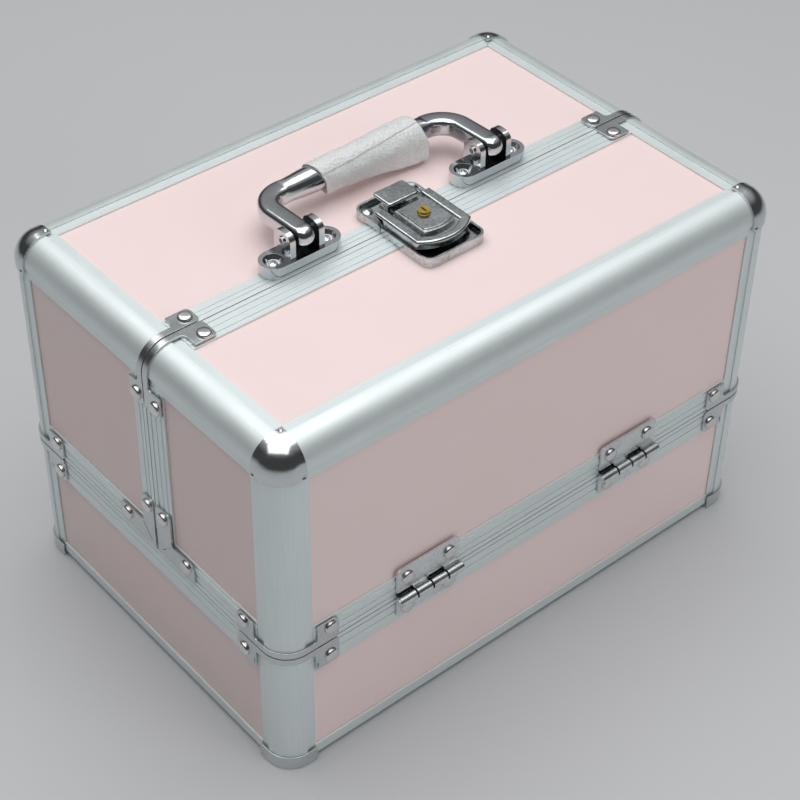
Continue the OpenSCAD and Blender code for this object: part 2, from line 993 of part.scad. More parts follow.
// Outline with a bowed near edge: straight sides, then an arc
module bowed_outline(half_w, far, side_y, near_y) {
    sag = side_y - near_y;
    bow_r = (half_w * half_w + sag * sag) / (2 * sag);
    translate([-half_w, side_y + 0.5]) square([2 * half_w, far - side_y - 0.5]);
    intersection() {
        translate([0, near_y + bow_r]) circle(bow_r, $fn = 128);
        translate([-half_w, near_y - 1]) square([2 * half_w, side_y - near_y + 2]);
    }
}

// Pressed cover with side skirts and a bowed lifting edge. Its window for the lock plate is open
// toward the strike tab, so that two arms reach over the parting line
module latch_lever() {
    skin = 1.2;
    skirt_end = -part_offset + half_gap;
    below = lever_skirt - 1;
    color(chrome)
        translate([0, 0, case_h])
            difference() {
                translate([0, 0, lever_skirt])
                    linear_extrude(lever_top - lever_skirt)
                        bowed_outline(lever_half_w, lever_far, lever_side_y, lever_near_y);
                translate([0, 0, below])
                    linear_extrude(lever_under - below)
                        bowed_outline(lever_half_w - skin, lever_far + 5, lever_side_y, lever_near_y + skin);
                translate([0, 0, below])
                    linear_extrude(lever_top)
                        bowed_outline(window_half_w, lever_far + 5, lever_side_y + 2.1, lever_near_y + 4.2);
                translate([-latch_half_w, skirt_end, below])
                    cube([2 * latch_half_w, case_d, lever_under - below]);
                for (s = [0, 1])
                    mirror([s, 0, 0])
                        lever_pin_bore(lever_pin_r);
            }
}

// Stepped plate in the lever's window. It holds the key cylinder, its flange lies under the
// cover's edges, and its hook reaches just under the strike tab
module latch_lock_plate() {
    flange_t = 1.2;
    flange_lap = 1.5;
    hook_half_w = 8;
    step_in = 0.9;
    step_z = lever_top + 0.6;
    flange_z = lever_under - flange_t;
    color(chrome)
        translate([0, 0, case_h])
            difference() {
                union() {
                    translate([0, 0, flange_z])
                        linear_extrude(flange_t) {
                            bowed_outline(window_half_w + flange_lap, lock_far,
                                lever_side_y + 0.7, lever_near_y + 2.8);
                            translate([-hook_half_w, lock_far - 1])
                                square([2 * hook_half_w, tab_near + hook_lap - lock_far + 1]);
                        }
                    translate([0, 0, flange_z])
                        linear_extrude(step_z - flange_z)
                            bowed_outline(lock_half_w, lock_far, lock_side_y, lock_near_y);
                    translate([0, 0, flange_z])
                        linear_extrude(lock_top - flange_z)
                            bowed_outline(lock_half_w - step_in, lock_far - step_in,
                                lock_side_y + step_in, lock_near_y + step_in);
                }
                translate([0, key_y, 0])
                    cylinder(r = key_r + run_fit, h = 20);
            }
}

// Brass cylinder that stands proud of the lock plate, with its key slot
module latch_key_cylinder() {
    bottom = 3.4;
    top = lock_top + 1.6;
    slot = [1, 4, 1.6];
    color("gold")
        translate([0, key_y, case_h])
            difference() {
                translate([0, 0, bottom]) cylinder(r = key_r, h = top - bottom);
                translate([-slot[0] / 2, -slot[1] / 2, top - slot[2]]) cube([slot[0], slot[1], slot[2] + 1]);
            }
}

// Stub pins that join the lever to the base's ears
module latch_pins() {
    color(chrome)
        translate([0, 0, case_h])
            for (s = [0, 1])
                mirror([s, 0, 0])
                    translate([ear_in - 0.4, lever_axis[0], lever_axis[1]])
                        rotate([0, 90, 0])
                            cylinder(r = lever_pin_r, h = lever_half_w - ear_in + 0.4);
}

// Pan on the rear lid, with its rim round the far end
module latch_catch_plate() {
    near = -part_offset + half_gap;
    color(chrome)
        translate([0, 0, case_h])
            difference() {
                latch_pan(near, catch_far, near + rear_meet_w + 0.2);
                catch_screw_places()
                    translate([0, 0, -5])
                        cylinder(r = hole_r, h = 8);
            }
}

module catch_screw_places() {
    out = latch_half_w - 5.2;
    for (x = [-out, out])
        translate([x, catch_far - 4.6, latch_floor])
            children();
}

// Domed cross-head screw
module cross_screw(grip, head_r, dome) {
    slot_w = 0.7;
    slot_l = 1.2 * head_r;
    difference() {
        rivet(grip, head_r, dome);
        for (a = [0, 90])
            rotate(a)
                translate([-slot_l / 2, -slot_w / 2, dome - 0.7])
                    cube([slot_l, slot_w, 1]);
    }
}

module latch_catch_screws() {
    color(chrome)
        translate([0, 0, case_h])
            catch_screw_places()
                cross_screw(latch_floor - 0.2, 3.2, 1.5);
}

// Raised strike tab that the lock plate's hook lies under, on a folded post
module latch_catch_tab() {
    tab_t = 1.2;
    post_half_w = 5.5;
    post_y = tab_near + 5.5;
    curl_r = 1.8;
    color(chrome)
        translate([0, 0, case_h]) {
            translate([0, (tab_near + tab_far) / 2, tab_z])
                linear_extrude(tab_t)
                    rounded_rect(2 * tab_half_w, tab_far - tab_near, 2);
            translate([-post_half_w, post_y, latch_floor])
                cube([2 * post_half_w, 1.4, tab_z - latch_floor + 0.2]);
            translate([-post_half_w, post_y, latch_floor])
                cube([2 * post_half_w, 6.5, 1]);
            translate([-post_half_w - 1, post_y + 0.7, latch_floor + 4.2])
                rotate([0, 90, 0])
                    cylinder(r = curl_r, h = 2 * post_half_w + 2);
        }
}

// ---- Handle ----

// A child at both handle brackets, drawn about the bracket's middle on the strip
module each_bracket() {
    for (s = [-1, 1])
        translate([handle_x + s * bracket_span / 2, pivot_y, case_h])
            children();
}

// Long round-ended shape across X
module obround(half_l, half_w) {
    translate([-half_l + half_w, -half_w]) square([2 * (half_l - half_w), 2 * half_w]);
    for (s = [-1, 1])
        translate([s * (half_l - half_w), 0]) circle(half_w);
}

// Cast base with a bowl round each screw and two rounded ears
module handle_brackets() {
    step = rear_meet_w - part_offset + half_gap - pivot_y + 0.2;
    bowl_r = 4.7;
    ear_root = 1;
    color(chrome)
        each_bracket()
            difference() {
                union() {
                    linear_extrude(bracket_base_t) obround(bracket_half_l, bracket_half_w);
                    translate([0, 0, -panel_in])
                        linear_extrude(panel_in + 0.5)
                            intersection() {
                                obround(bracket_half_l, bracket_half_w);
                                translate([-bracket_half_l, step])
                                    square([2 * bracket_half_l, bracket_half_w]);
                            }
                    for (s = [0, 1])
                        mirror([s, 0, 0])
                            translate([ear_gap, 0, 0]) {
                                translate([0, -handle_ear_r, ear_root])
                                    cube([handle_ear_t, 2 * handle_ear_r, pivot_z - ear_root]);
                                translate([0, 0, pivot_z])
                                    rotate([0, 90, 0])
                                        cylinder(r = handle_ear_r, h = handle_ear_t);
                            }
                }
                translate([-bracket_half_l, 0, pivot_z])
                    rotate([0, 90, 0])
                        cylinder(r = handle_pin_r, h = 2 * bracket_half_l);
                for (s = [-1, 1])
                    translate([s * screw_out, 0, 0]) {
                        translate([0, 0, -5]) cylinder(r = hole_r, h = 20);
                        translate([0, 0, bracket_base_t - screw_sink])
                            cylinder(r1 = screw_head_r + 0.3, r2 = bowl_r, h = screw_sink + 0.01);
                    }
            }
}

// Cross-head screws in the brackets' bowls
module handle_bracket_screws() {
    floor_z = bracket_base_t - screw_sink;
    color(chrome)
        each_bracket()
            for (s = [-1, 1])
                translate([s * screw_out, 0, floor_z])
                    cross_screw(floor_z - 0.2, screw_head_r, 1.4);
}

// Pins with hollow ends
module handle_pins() {
    half = ear_gap + handle_ear_t + 0.8;
    dish_r = 1.4;
    dish = 1.6;
    color(chrome)
        each_bracket()
            translate([0, 0, pivot_z])
                rotate([0, 90, 0])
                    difference() {
                        translate([0, 0, -half]) cylinder(r = handle_pin_r, h = 2 * half);
                        for (s = [0, 1])
                            mirror([0, 0, s])
                                translate([0, 0, half - dish]) cylinder(r = dish_r, h = 2 * dish);
                    }
}

// The bar in its own plane: X across, Y from the pivots to the grip, tilted about the pivots
module in_handle_plane() {
    translate([handle_x, pivot_y, case_h + pivot_z])
        rotate([-handle_fall, 0, 0])
            children();
}

// Cast U-shaped bar: round hubs on the pins, square arms with rounded edges, elbows, and a grip
// that swells from the elbows
module handle_bar() {
    half = bracket_span / 2;
    corner_x = half - elbow_r;
    corner_y = handle_reach - elbow_r;
    hub_edge = 0.9;
    swell = 22;
    root_r = bar_h / 2 - 0.1;
    straight = 9;
    color(chrome)
        in_handle_plane()
            difference() {
                union() {
                    for (s = [0, 1])
                        mirror([s, 0, 0]) {
                            translate([half, 0, 0])
                                rotate([0, 90, 0])
                                    rotate_extrude()
                                        polygon([
                                            [0, -hub_half], [hub_r - hub_edge, -hub_half],
                                            [hub_r, -hub_half + hub_edge], [hub_r, hub_half - hub_edge],
                                            [hub_r - hub_edge, hub_half], [0, hub_half]
                                        ]);
                            translate([half, 0, 0])
                                rotate([-90, 0, 0])
                                    linear_extrude(corner_y)
                                        rounded_rect(bar_w, bar_h, bar_round);
                            translate([corner_x, corner_y, 0])
                                rotate_extrude(angle = 90)
                                    translate([elbow_r, 0])
                                        rounded_rect(bar_w, bar_h, bar_round);
                            translate([corner_x - straight, handle_reach, 0])
                                rotate([0, 90, 0])
                                    linear_extrude(straight)
                                        rounded_rect(bar_h, bar_w, bar_round);
                            translate([corner_x - swell, handle_reach, 0])
                                rotate([0, 90, 0])
                                    cylinder(r1 = grip_r, r2 = root_r, h = swell);
                        }
                    translate([-corner_x + swell, handle_reach, 0])
                        rotate([0, 90, 0]) cylinder(r = grip_r, h = 2 * (corner_x - swell));
                }
                translate([-case_l / 2, 0, 0])
                    rotate([0, 90, 0]) cylinder(r = handle_pin_r + run_fit, h = case_l);
            }
}

// Loose foam film round the grip, wider at one end
module handle_film() {
    color([0.9, 0.92, 0.92])
        in_handle_plane()
            translate([film_x[0], handle_reach, 0])
                rotate([0, 90, 0])
                    difference() {
                        cylinder(r1 = film_r[0], r2 = film_r[1], h = film_x[1] - film_x[0]);
                        translate([0, 0, -1]) cylinder(r = grip_r + 0.05, h = case_l);
                    }
}

// ---- Nodes ----

base_floor_panel();
base_wall_panels();
base_floor_mat();
base_bottom_frame();
base_corner_posts();
base_rim_strips();
base_foot_caps();
base_seam_brackets();
base_rivets();
base_arm_studs();
hinge_leaves(true, false);  // front_hinge_lower_leaves
hinge_leaves(false, false);  // rear_hinge_lower_leaves
hinge_pins(true);  // front_hinge_pins
hinge_pins(false);  // rear_hinge_pins
lid_top_panel(true);  // front_lid_top_panel
lid_wall_panels(true);  // front_lid_wall_panels
lid_top_edges(true);  // front_lid_top_edges
lid_corner_posts(true);  // front_lid_corner_posts
lid_rim_strips(true);  // front_lid_rim_strips
lid_meeting_strips(true);  // front_lid_meeting_strips
lid_corner_caps(true);  // front_lid_corner_caps
lid_seam_brackets(true);  // front_lid_seam_brackets
lid_wrap_brackets(true);  // front_lid_wrap_brackets
lid_angle_brackets(true);  // front_lid_angle_brackets
lid_rivets(true);  // front_lid_rivets
lid_tray_studs(true);  // front_lid_tray_studs
hinge_leaves(true, true);  // front_hinge_upper_leaves
lid_top_panel(false);  // rear_lid_top_panel
lid_wall_panels(false);  // rear_lid_wall_panels
lid_top_edges(false);  // rear_lid_top_edges
lid_corner_posts(false);  // rear_lid_corner_posts
lid_rim_strips(false);  // rear_lid_rim_strips
lid_meeting_strips(false);  // rear_lid_meeting_strips
lid_corner_caps(false);  // rear_lid_corner_caps
lid_seam_brackets(false);  // rear_lid_seam_brackets
lid_wrap_brackets(false);  // rear_lid_wrap_brackets
lid_angle_brackets(false);  // rear_lid_angle_brackets
lid_rivets(false);  // rear_lid_rivets
lid_tray_studs(false);  // rear_lid_tray_studs
hinge_leaves(false, true);  // rear_hinge_upper_leaves
latch_base();
latch_lever();
latch_lock_plate();
latch_key_cylinder();
latch_pins();
latch_catch_plate();
latch_catch_tab();
latch_catch_screws();
handle_brackets();
handle_bracket_screws();
handle_pins();
handle_bar();
handle_film();
tray(true, lower_pivot, lower_tray_z, 2);  // front_lower_tray
tray(true, upper_pivot, upper_tray_z, 4);  // front_upper_tray
tray(false, lower_pivot, lower_tray_z, 2);  // rear_lower_tray
tray(false, upper_pivot, upper_tray_z, 4);  // rear_upper_tray
link_arms(true);  // front_link_arms
link_arms(false);  // rear_link_arms
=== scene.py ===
import math

import bmesh
import bpy
from mathutils import Matrix, Vector, noise


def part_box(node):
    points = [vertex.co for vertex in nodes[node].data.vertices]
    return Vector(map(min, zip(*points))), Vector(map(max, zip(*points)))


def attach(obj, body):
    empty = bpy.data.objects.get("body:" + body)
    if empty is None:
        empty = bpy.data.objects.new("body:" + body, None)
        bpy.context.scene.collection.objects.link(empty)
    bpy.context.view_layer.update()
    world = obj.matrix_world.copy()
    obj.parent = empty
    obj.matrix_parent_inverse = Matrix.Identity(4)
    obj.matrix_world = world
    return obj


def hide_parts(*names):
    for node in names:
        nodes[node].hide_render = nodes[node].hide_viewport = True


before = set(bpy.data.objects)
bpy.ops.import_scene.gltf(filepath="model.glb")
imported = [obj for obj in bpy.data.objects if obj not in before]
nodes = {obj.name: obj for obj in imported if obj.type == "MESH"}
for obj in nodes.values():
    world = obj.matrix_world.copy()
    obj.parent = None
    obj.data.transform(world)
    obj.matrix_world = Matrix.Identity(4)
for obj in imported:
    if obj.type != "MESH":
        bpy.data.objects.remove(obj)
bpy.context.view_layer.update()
MM = 0.001


# ---- Laminated panels ----
# Each wall is 4 mm board with a matt pink laminate outside and a dark lining sheet inside, held
# in the slots of the frame. One material does both faces: depth below the case's outside tells
# which is which.


def add(tree, kind, inputs=None, **settings):
    """A node with its settings, and its inputs as plain values or as links from other sockets."""
    node = tree.nodes.new(kind)
    for name, value in settings.items():
        setattr(node, name, value)
    for name, value in (inputs or {}).items():
        if isinstance(value, bpy.types.NodeSocket):
            tree.links.new(value, node.inputs[name])
        else:
            node.inputs[name].default_value = value
    return node


def math_node(tree, operation, a, b=0.0):
    """The result socket of one sum."""
    return add(tree, "ShaderNodeMath", {0: a, 1: b}, operation=operation).outputs[0]


def noise_value(tree, place, scale, detail, roughness=0.5):
    """The 0 to 1 socket of a noise pattern."""
    inputs = {"Vector": place, "Scale": scale, "Detail": detail, "Roughness": roughness}
    return add(tree, "ShaderNodeTexNoise", inputs).outputs[0]


def color_to(tree, shader, factor, low, high):
    """Blends two colours over the surface as the base colour."""
    inputs = {"Factor": factor, "A": (*low, 1), "B": (*high, 1)}
    blend = add(tree, "ShaderNodeMix", inputs, data_type="RGBA")
    tree.links.new(blend.outputs["Result"], shader.inputs["Base Color"])


def bump_to(tree, shader, height, strength, depth):
    """Gives the surface a fine relief, depth millimetres at full strength."""
    inputs = {"Height": height, "Strength": strength, "Distance": depth * MM}
    bump = add(tree, "ShaderNodeBump", inputs)
    tree.links.new(bump.outputs["Normal"], shader.inputs["Normal"])


def new_material(name, color, roughness, metallic=0.0):
    """A material with its tree and its shader."""
    material = bpy.data.materials.new(name)
    material.use_nodes = True
    shader = material.node_tree.nodes["Principled BSDF"]
    shader.inputs["Base Color"].default_value = (*color, 1)
    shader.inputs["Roughness"].default_value = roughness
    shader.inputs["Metallic"].default_value = metallic
    return material, material.node_tree, shader


def shader_group(name, inputs, outputs):
    """An empty shader node group with float, vector or colour sockets, and its two end nodes."""
    kinds = {"f": "NodeSocketFloat", "v": "NodeSocketVector", "c": "NodeSocketColor"}
    tree = bpy.data.node_groups.new(name, "ShaderNodeTree")
    for socket, (kind, value) in inputs.items():
        made = tree.interface.new_socket(socket, in_out="INPUT", socket_type=kinds[kind])
        if value is not None:
            made.default_value = value
    for socket, kind in outputs.items():
        tree.interface.new_socket(socket, in_out="OUTPUT", socket_type=kinds[kind])
    start = tree.nodes.new("NodeGroupInput")
    end = tree.nodes.new("NodeGroupOutput")
    return tree, start.outputs, end.inputs


def use_group(tree, group, inputs):
    """A group placed in a material with its own values."""
    node = tree.nodes.new("ShaderNodeGroup")
    node.node_tree = group
    for name, value in inputs.items():
        if isinstance(value, bpy.types.NodeSocket):
            tree.links.new(value, node.inputs[name])
        else:
            node.inputs[name].default_value = value
    return node.outputs


def handling_marks():
    """Faint cloudy patches and fine specks, as a touched and wiped surface has."""
    tree, given, result = shader_group(
        "handling_marks",
        {"Vector": ("v", None), "Patch Scale": ("f", 14.0), "Speck Scale": ("f", 600.0)},
        {"Patches": "f", "Specks": "f"},
    )
    patches = noise_value(tree, given["Vector"], given["Patch Scale"], 4, 0.6)
    specks = noise_value(tree, given["Vector"], given["Speck Scale"], 2)
    tree.links.new(patches, result["Patches"])
    tree.links.new(specks, result["Specks"])
    return tree


def spread(tree, value, low, high):
    """The middle of a noise socket, where most of it lies, stretched over low to high."""
    inputs = {"Value": value, "From Min": 0.3, "From Max": 0.7, "To Min": low, "To Max": high}
    return add(tree, "ShaderNodeMapRange", inputs).outputs[0]


marks = handling_marks()


def laminate_material():
    """Matt pink laminate outside, dark grained lining inside."""
    pink = (0.900, 0.738, 0.722)
    rubbed = (pink[0] * 0.975, pink[1] * 0.96, pink[2] * 0.96, 1)
    fresh = (pink[0] * 1.015, pink[1] * 1.025, pink[2] * 1.025, 1)
    lining = (0.030, 0.030, 0.033, 1)
    half_board = 2 * MM
    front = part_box("front_lid_wall_panels")[1]
    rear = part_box("rear_lid_wall_panels")[1]
    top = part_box("front_lid_top_panel")[1].z - half_board
    material, tree, shader = new_material("pink_laminate_board", pink, 0.42)
    shader.inputs["Specular IOR Level"].default_value = 0.3
    place = add(tree, "ShaderNodeTexCoord").outputs["Object"]
    axes = add(tree, "ShaderNodeSeparateXYZ", {0: place}).outputs
    across = math_node(tree, "ABSOLUTE", axes[0])
    deep = math_node(tree, "ABSOLUTE", axes[1])
    outside = math_node(tree, "GREATER_THAN", across, front.x - half_board)
    for value, face in ((deep, rear.y - half_board), (axes[2], top)):
        outside = math_node(tree, "MAXIMUM", outside, math_node(tree, "GREATER_THAN", value, face))
    worn = use_group(tree, marks, {"Vector": place, "Patch Scale": 9.0, "Speck Scale": 1500.0})
    tint = add(
        tree,
        "ShaderNodeMix",
        {"Factor": worn["Patches"], "A": rubbed, "B": fresh},
        data_type="RGBA",
    )
    color = add(
        tree,
        "ShaderNodeMix",
        {"Factor": outside, "A": lining, "B": tint.outputs["Result"]},
        data_type="RGBA",
    )
    tree.links.new(color.outputs["Result"], shader.inputs["Base Color"])
    tree.links.new(spread(tree, worn["Patches"], 0.36, 0.46), shader.inputs["Roughness"])
    bump_to(tree, shader, worn["Specks"], 0.10, 0.05)
    return material


weld_distance = 0.004 * MM
flat_angle = math.radians(1)
crease_angle = math.radians(32)
rim_angle = math.radians(50)


def weld_tree():
    """Joins the loose triangles of a node's mesh into closed skins."""
    tree = bpy.data.node_groups.new("join_triangles", "GeometryNodeTree")
    tree.interface.new_socket("Geometry", in_out="INPUT", socket_type="NodeSocketGeometry")
    tree.interface.new_socket("Geometry", in_out="OUTPUT", socket_type="NodeSocketGeometry")
    bare = add(tree, "GeometryNodeRemoveAttribute", {"Name": "custom_normal"})
    weld = add(tree, "GeometryNodeMergeByDistance", {"Distance": weld_distance})
    tree.links.new(tree.nodes.new("NodeGroupInput").outputs[0], bare.inputs[0])
    tree.links.new(bare.outputs[0], weld.inputs[0])
    tree.links.new(weld.outputs[0], tree.nodes.new("NodeGroupOutput").inputs[0])
    return tree


def shading_tree():
    """Smooth shading that breaks at edges sharper than the given angle."""
    tree = bpy.data.node_groups.new("shade_by_angle", "GeometryNodeTree")
    tree.interface.new_socket("Geometry", in_out="INPUT", socket_type="NodeSocketGeometry")
    limit = tree.interface.new_socket("Angle", in_out="INPUT", socket_type="NodeSocketFloat")
    limit.default_value = crease_angle
    tree.interface.new_socket("Geometry", in_out="OUTPUT", socket_type="NodeSocketGeometry")
    given = tree.nodes.new("NodeGroupInput")
    angle = tree.nodes.new("GeometryNodeInputMeshEdgeAngle")
    sharp = add(
        tree,
        "FunctionNodeCompare",
        {0: angle.outputs[0], 1: given.outputs[1]},
        data_type="FLOAT",
        operation="GREATER_THAN",
    )
    mark = add(
        tree,
        "GeometryNodeStoreNamedAttribute",
        {"Geometry": given.outputs[0], "Name": "sharp_edge"},
        data_type="BOOLEAN",
        domain="EDGE",
    )
    tree.links.new(sharp.outputs[0], mark.inputs["Value"])
    smooth = add(tree, "GeometryNodeSetShadeSmooth", {"Geometry": mark.outputs[0]})
    tree.links.new(smooth.outputs[0], tree.nodes.new("NodeGroupOutput").inputs[0])
    return tree


join_triangles = weld_tree()
shade_by_angle = shading_tree()


def rim_tree():
    """Marks the sharp edges that lie above the given level, for a fuller rounding."""
    tree = bpy.data.node_groups.new("mark_rim", "GeometryNodeTree")
    tree.interface.new_socket("Geometry", in_out="INPUT", socket_type="NodeSocketGeometry")
    tree.interface.new_socket("Level", in_out="INPUT", socket_type="NodeSocketFloat")
    tree.interface.new_socket("Geometry", in_out="OUTPUT", socket_type="NodeSocketGeometry")
    given = tree.nodes.new("NodeGroupInput").outputs
    ends = tree.nodes.new("GeometryNodeInputMeshEdgeVertices").outputs
    angle = tree.nodes.new("GeometryNodeInputMeshEdgeAngle").outputs[0]
    rim = math_node(tree, "GREATER_THAN", angle, rim_angle)
    for spot in (ends["Position 1"], ends["Position 2"]):
        height = add(tree, "ShaderNodeSeparateXYZ", {0: spot}).outputs[2]
        above = math_node(tree, "GREATER_THAN", height, given["Level"])
        rim = math_node(tree, "MULTIPLY", rim, above)
    mark = add(
        tree,
        "GeometryNodeStoreNamedAttribute",
        {"Geometry": given["Geometry"], "Name": "bevel_weight_edge", "Value": rim},
        data_type="FLOAT",
        domain="EDGE",
    )
    tree.links.new(mark.outputs[0], tree.nodes.new("NodeGroupOutput").inputs[0])
    return tree


mark_rim = rim_tree()


def whole_faces(piece):
    """Dissolves the edges that only cut flat faces into triangles."""
    flat = piece.modifiers.new("whole_faces", "DECIMATE")
    flat.decimate_type = "DISSOLVE"
    flat.angle_limit = flat_angle


def full_rim(piece, level, width):
    """Rounds the edges above a level by width millimetres, as a deep pressing has."""
    whole_faces(piece)
    mark = piece.modifiers.new("rim", "NODES")
    mark.node_group = mark_rim
    for socket in mark_rim.interface.items_tree:
        if socket.name == "Level":
            mark[socket.identifier] = level
    bevel = piece.modifiers.new("full_rim", "BEVEL")
    bevel.limit_method = "WEIGHT"
    bevel.width = width * MM
    bevel.segments = 5
    bevel.use_clamp_overlap = True


def rounded_edges(piece, edge=0.0, segments=2, rim=None):
    """Joins a piece's faces, rounds its sharp edges by edge millimetres, and shades it."""
    weld = piece.modifiers.new("join", "NODES")
    weld.node_group = join_triangles
    if rim:
        full_rim(piece, *rim)
    if edge:
        whole_faces(piece)
        bevel = piece.modifiers.new("rounded", "BEVEL")
        bevel.limit_method = "ANGLE"
        bevel.angle_limit = crease_angle
        bevel.width = edge * MM
        bevel.segments = segments
        bevel.use_clamp_overlap = True
    shade = piece.modifiers.new("shade", "NODES")
    shade.node_group = shade_by_angle
    if edge:
        even = piece.modifiers.new("even", "WEIGHTED_NORMAL")
        even.keep_sharp = True


def dress(names, material, edge=0.0, segments=2, rim=None):
    """Gives nodes their material and their rounded edges."""
    for name in names:
        nodes[name].material_slots[0].material = material
        rounded_edges(nodes[name], edge, segments, rim)


laminate = laminate_material()
panels = ["base_wall_panels"]
for half in ("front", "rear"):
    panels += [f"{half}_lid_top_panel", f"{half}_lid_wall_panels"]
dress(panels, laminate)


# ---- Floor board and mat ----
# A black board closes the bottom of the base. A sheet of closed-cell foam lies on it inside.


def floor_board_material():
    """Black backing board with a faint pressed grain."""
    material, tree, shader = new_material("black_backing_board", (0.03, 0.03, 0.032), 0.6)
    place = add(tree, "ShaderNodeTexCoord").outputs["Object"]
    worn = use_group(tree, marks, {"Vector": place, "Patch Scale": 20.0, "Speck Scale": 900.0})
    tree.links.new(spread(tree, worn["Patches"], 0.5, 0.7), shader.inputs["Roughness"])
    bump_to(tree, shader, worn["Specks"], 0.3, 0.1)
    return material


def foam_mat_material():
    """Charcoal foam with open cells in its cut face."""
    material, tree, shader = new_material("charcoal_foam", (0.045, 0.045, 0.05), 0.9)
    place = add(tree, "ShaderNodeTexCoord").outputs["Object"]
    cells = add(tree, "ShaderNodeTexVoronoi", {"Vector": place, "Scale": 1100.0})
    worn = use_group(tree, marks, {"Vector": place, "Patch Scale": 16.0, "Speck Scale": 500.0})
    color_to(tree, shader, worn["Patches"], (0.036, 0.036, 0.04), (0.06, 0.06, 0.066))
    bump_to(tree, shader, cells.outputs["Distance"], 0.6, 0.25)
    return material


dress(["base_floor_panel"], floor_board_material())
dress(["base_floor_mat"], foam_mat_material(), edge=0.4)


# ---- Aluminium frame ----
# Satin anodised extrusions: rounded edges and posts, flat strips with a bead and two steps along
# the seams, and a slim angle round the foot. Drawing marks run along each length.


def along_run():
    """Object coordinates squeezed along the length that each extrusion was drawn in."""
    tree, given, result = shader_group(
        "along_run",
        {
            "Vector": ("v", None),
            "End": ("f", 0.132),
            "Side": ("f", 0.084),
            "Foot": ("f", 0.0896),
            "Top": ("f", 0.179),
            "Squeeze": ("f", 0.012),
        },
        {"Vector": "v"},
    )
    axes = add(tree, "ShaderNodeSeparateXYZ", {0: given["Vector"]}).outputs
    past_end = math_node(tree, "GREATER_THAN", math_node(tree, "ABSOLUTE", axes[0]), given["End"])
    corner = math_node(tree, "GREATER_THAN", math_node(tree, "ABSOLUTE", axes[1]), given["Side"])
    above = math_node(tree, "GREATER_THAN", axes[2], given["Foot"])
    below = math_node(tree, "LESS_THAN", axes[2], given["Top"])
    upright = math_node(tree, "MAXIMUM", corner, math_node(tree, "MULTIPLY", above, below))
    runs_z = math_node(tree, "MULTIPLY", past_end, upright)
    runs_x = math_node(tree, "SUBTRACT", 1.0, past_end)
    runs_y = math_node(tree, "SUBTRACT", past_end, runs_z)
    loss = math_node(tree, "SUBTRACT", 1.0, given["Squeeze"])
    scaled = []
    for axis, runs in zip(axes[:3], (runs_x, runs_y, runs_z)):
        keep = math_node(tree, "SUBTRACT", 1.0, math_node(tree, "MULTIPLY", runs, loss))
        scaled.append(math_node(tree, "MULTIPLY", axis, keep))
    joined = add(tree, "ShaderNodeCombineXYZ", dict(enumerate(scaled)))
    tree.links.new(joined.outputs[0], result["Vector"])
    return tree


def aluminium_material():
    """Satin silver anodising with fine drawing lines and a few rubbed patches."""
    material, tree, shader = new_material("satin_anodised_aluminium", (0.80, 0.85, 0.85), 0.5, 0.65)
    place = add(tree, "ShaderNodeTexCoord").outputs["Object"]
    run = use_group(tree, along_run(), {"Vector": place})["Vector"]
    lines = noise_value(tree, run, 2600.0, 3, 0.6)
    worn = use_group(tree, marks, {"Vector": place, "Patch Scale": 30.0, "Speck Scale": 2600.0})
    color_to(tree, shader, lines, (0.70, 0.765, 0.765), (0.86, 0.925, 0.925))
    tree.links.new(spread(tree, worn["Patches"], 0.44, 0.54), shader.inputs["Roughness"])
    height = math_node(tree, "ADD", lines, math_node(tree, "MULTIPLY", worn["Specks"], 0.6))
    bump_to(tree, shader, height, 0.16, 0.03)
    return material


aluminium = aluminium_material()
extrusions = ["base_bottom_frame", "base_corner_posts", "base_rim_strips"]
for half in ("front", "rear"):
    for part in ("top_edges", "corner_posts", "rim_strips", "meeting_strips"):
        extrusions.append(f"{half}_lid_{part}")
dress(extrusions, aluminium, edge=0.12)


# ---- Corner fittings ----
# Pressed steel, bright plated: ball corners on the lids, cups under the feet, wrap brackets that
# go round the edges, and angle brackets at the foot of the upright strips.


def plated_material(name, color, rough_low, rough_high, ripple, mottle=0.08):
    """Bright plating over pressed metal: slightly wavy, with soft smears and small spots."""
    material, tree, shader = new_material(name, color, rough_low, 1.0)
    place = add(tree, "ShaderNodeTexCoord").outputs["Object"]
    worn = use_group(tree, marks, {"Vector": place, "Patch Scale": 70.0, "Speck Scale": 900.0})
    tree.links.new(spread(tree, worn["Patches"], rough_low, rough_high), shader.inputs["Roughness"])
    spots = noise_value(tree, place, 620.0, 3, 0.65)
    mixed = math_node(tree, "MULTIPLY", math_node(tree, "ADD", worn["Patches"], spots), 0.5)
    dull = [value * (1 - mottle) for value in color]
    bright = [min(1, value * (1 + mottle)) for value in color]
    color_to(tree, shader, spread(tree, mixed, 0.0, 1.0), dull, bright)
    waves = noise_value(tree, place, 190.0, 3)
    pits = noise_value(tree, place, 1500.0, 2, 0.7)
    height = math_node(tree, "ADD", math_node(tree, "MULTIPLY", waves, ripple), worn["Specks"])
    height = math_node(tree, "ADD", height, math_node(tree, "MULTIPLY", pits, 1.2))
    bump_to(tree, shader, height, 0.3, 0.05)
    return material


bracket_plating = plated_material("plated_bracket_steel", (0.60, 0.63, 0.64), 0.16, 0.28, 4.0)
brackets = ["base_seam_brackets"]
caps = ["base_foot_caps"]
for half in ("front", "rear"):
    caps.append(f"{half}_lid_corner_caps")
    for part in ("seam_brackets", "wrap_brackets", "angle_brackets"):
        brackets.append(f"{half}_lid_{part}")
dress(brackets, bracket_plating, edge=0.28, segments=3)
corner_plating = plated_material("plated_corner_steel", (0.62, 0.65, 0.66), 0.10, 0.20, 5.0)
dress(caps, corner_plating, edge=0.3, segments=3)


# ---- Rivets ----
# Tubular steel rivets, plated: a broad head with a flat dome and a rolled lip, one shape all over
# the case. One tree sets a head on every place that the built model gives.

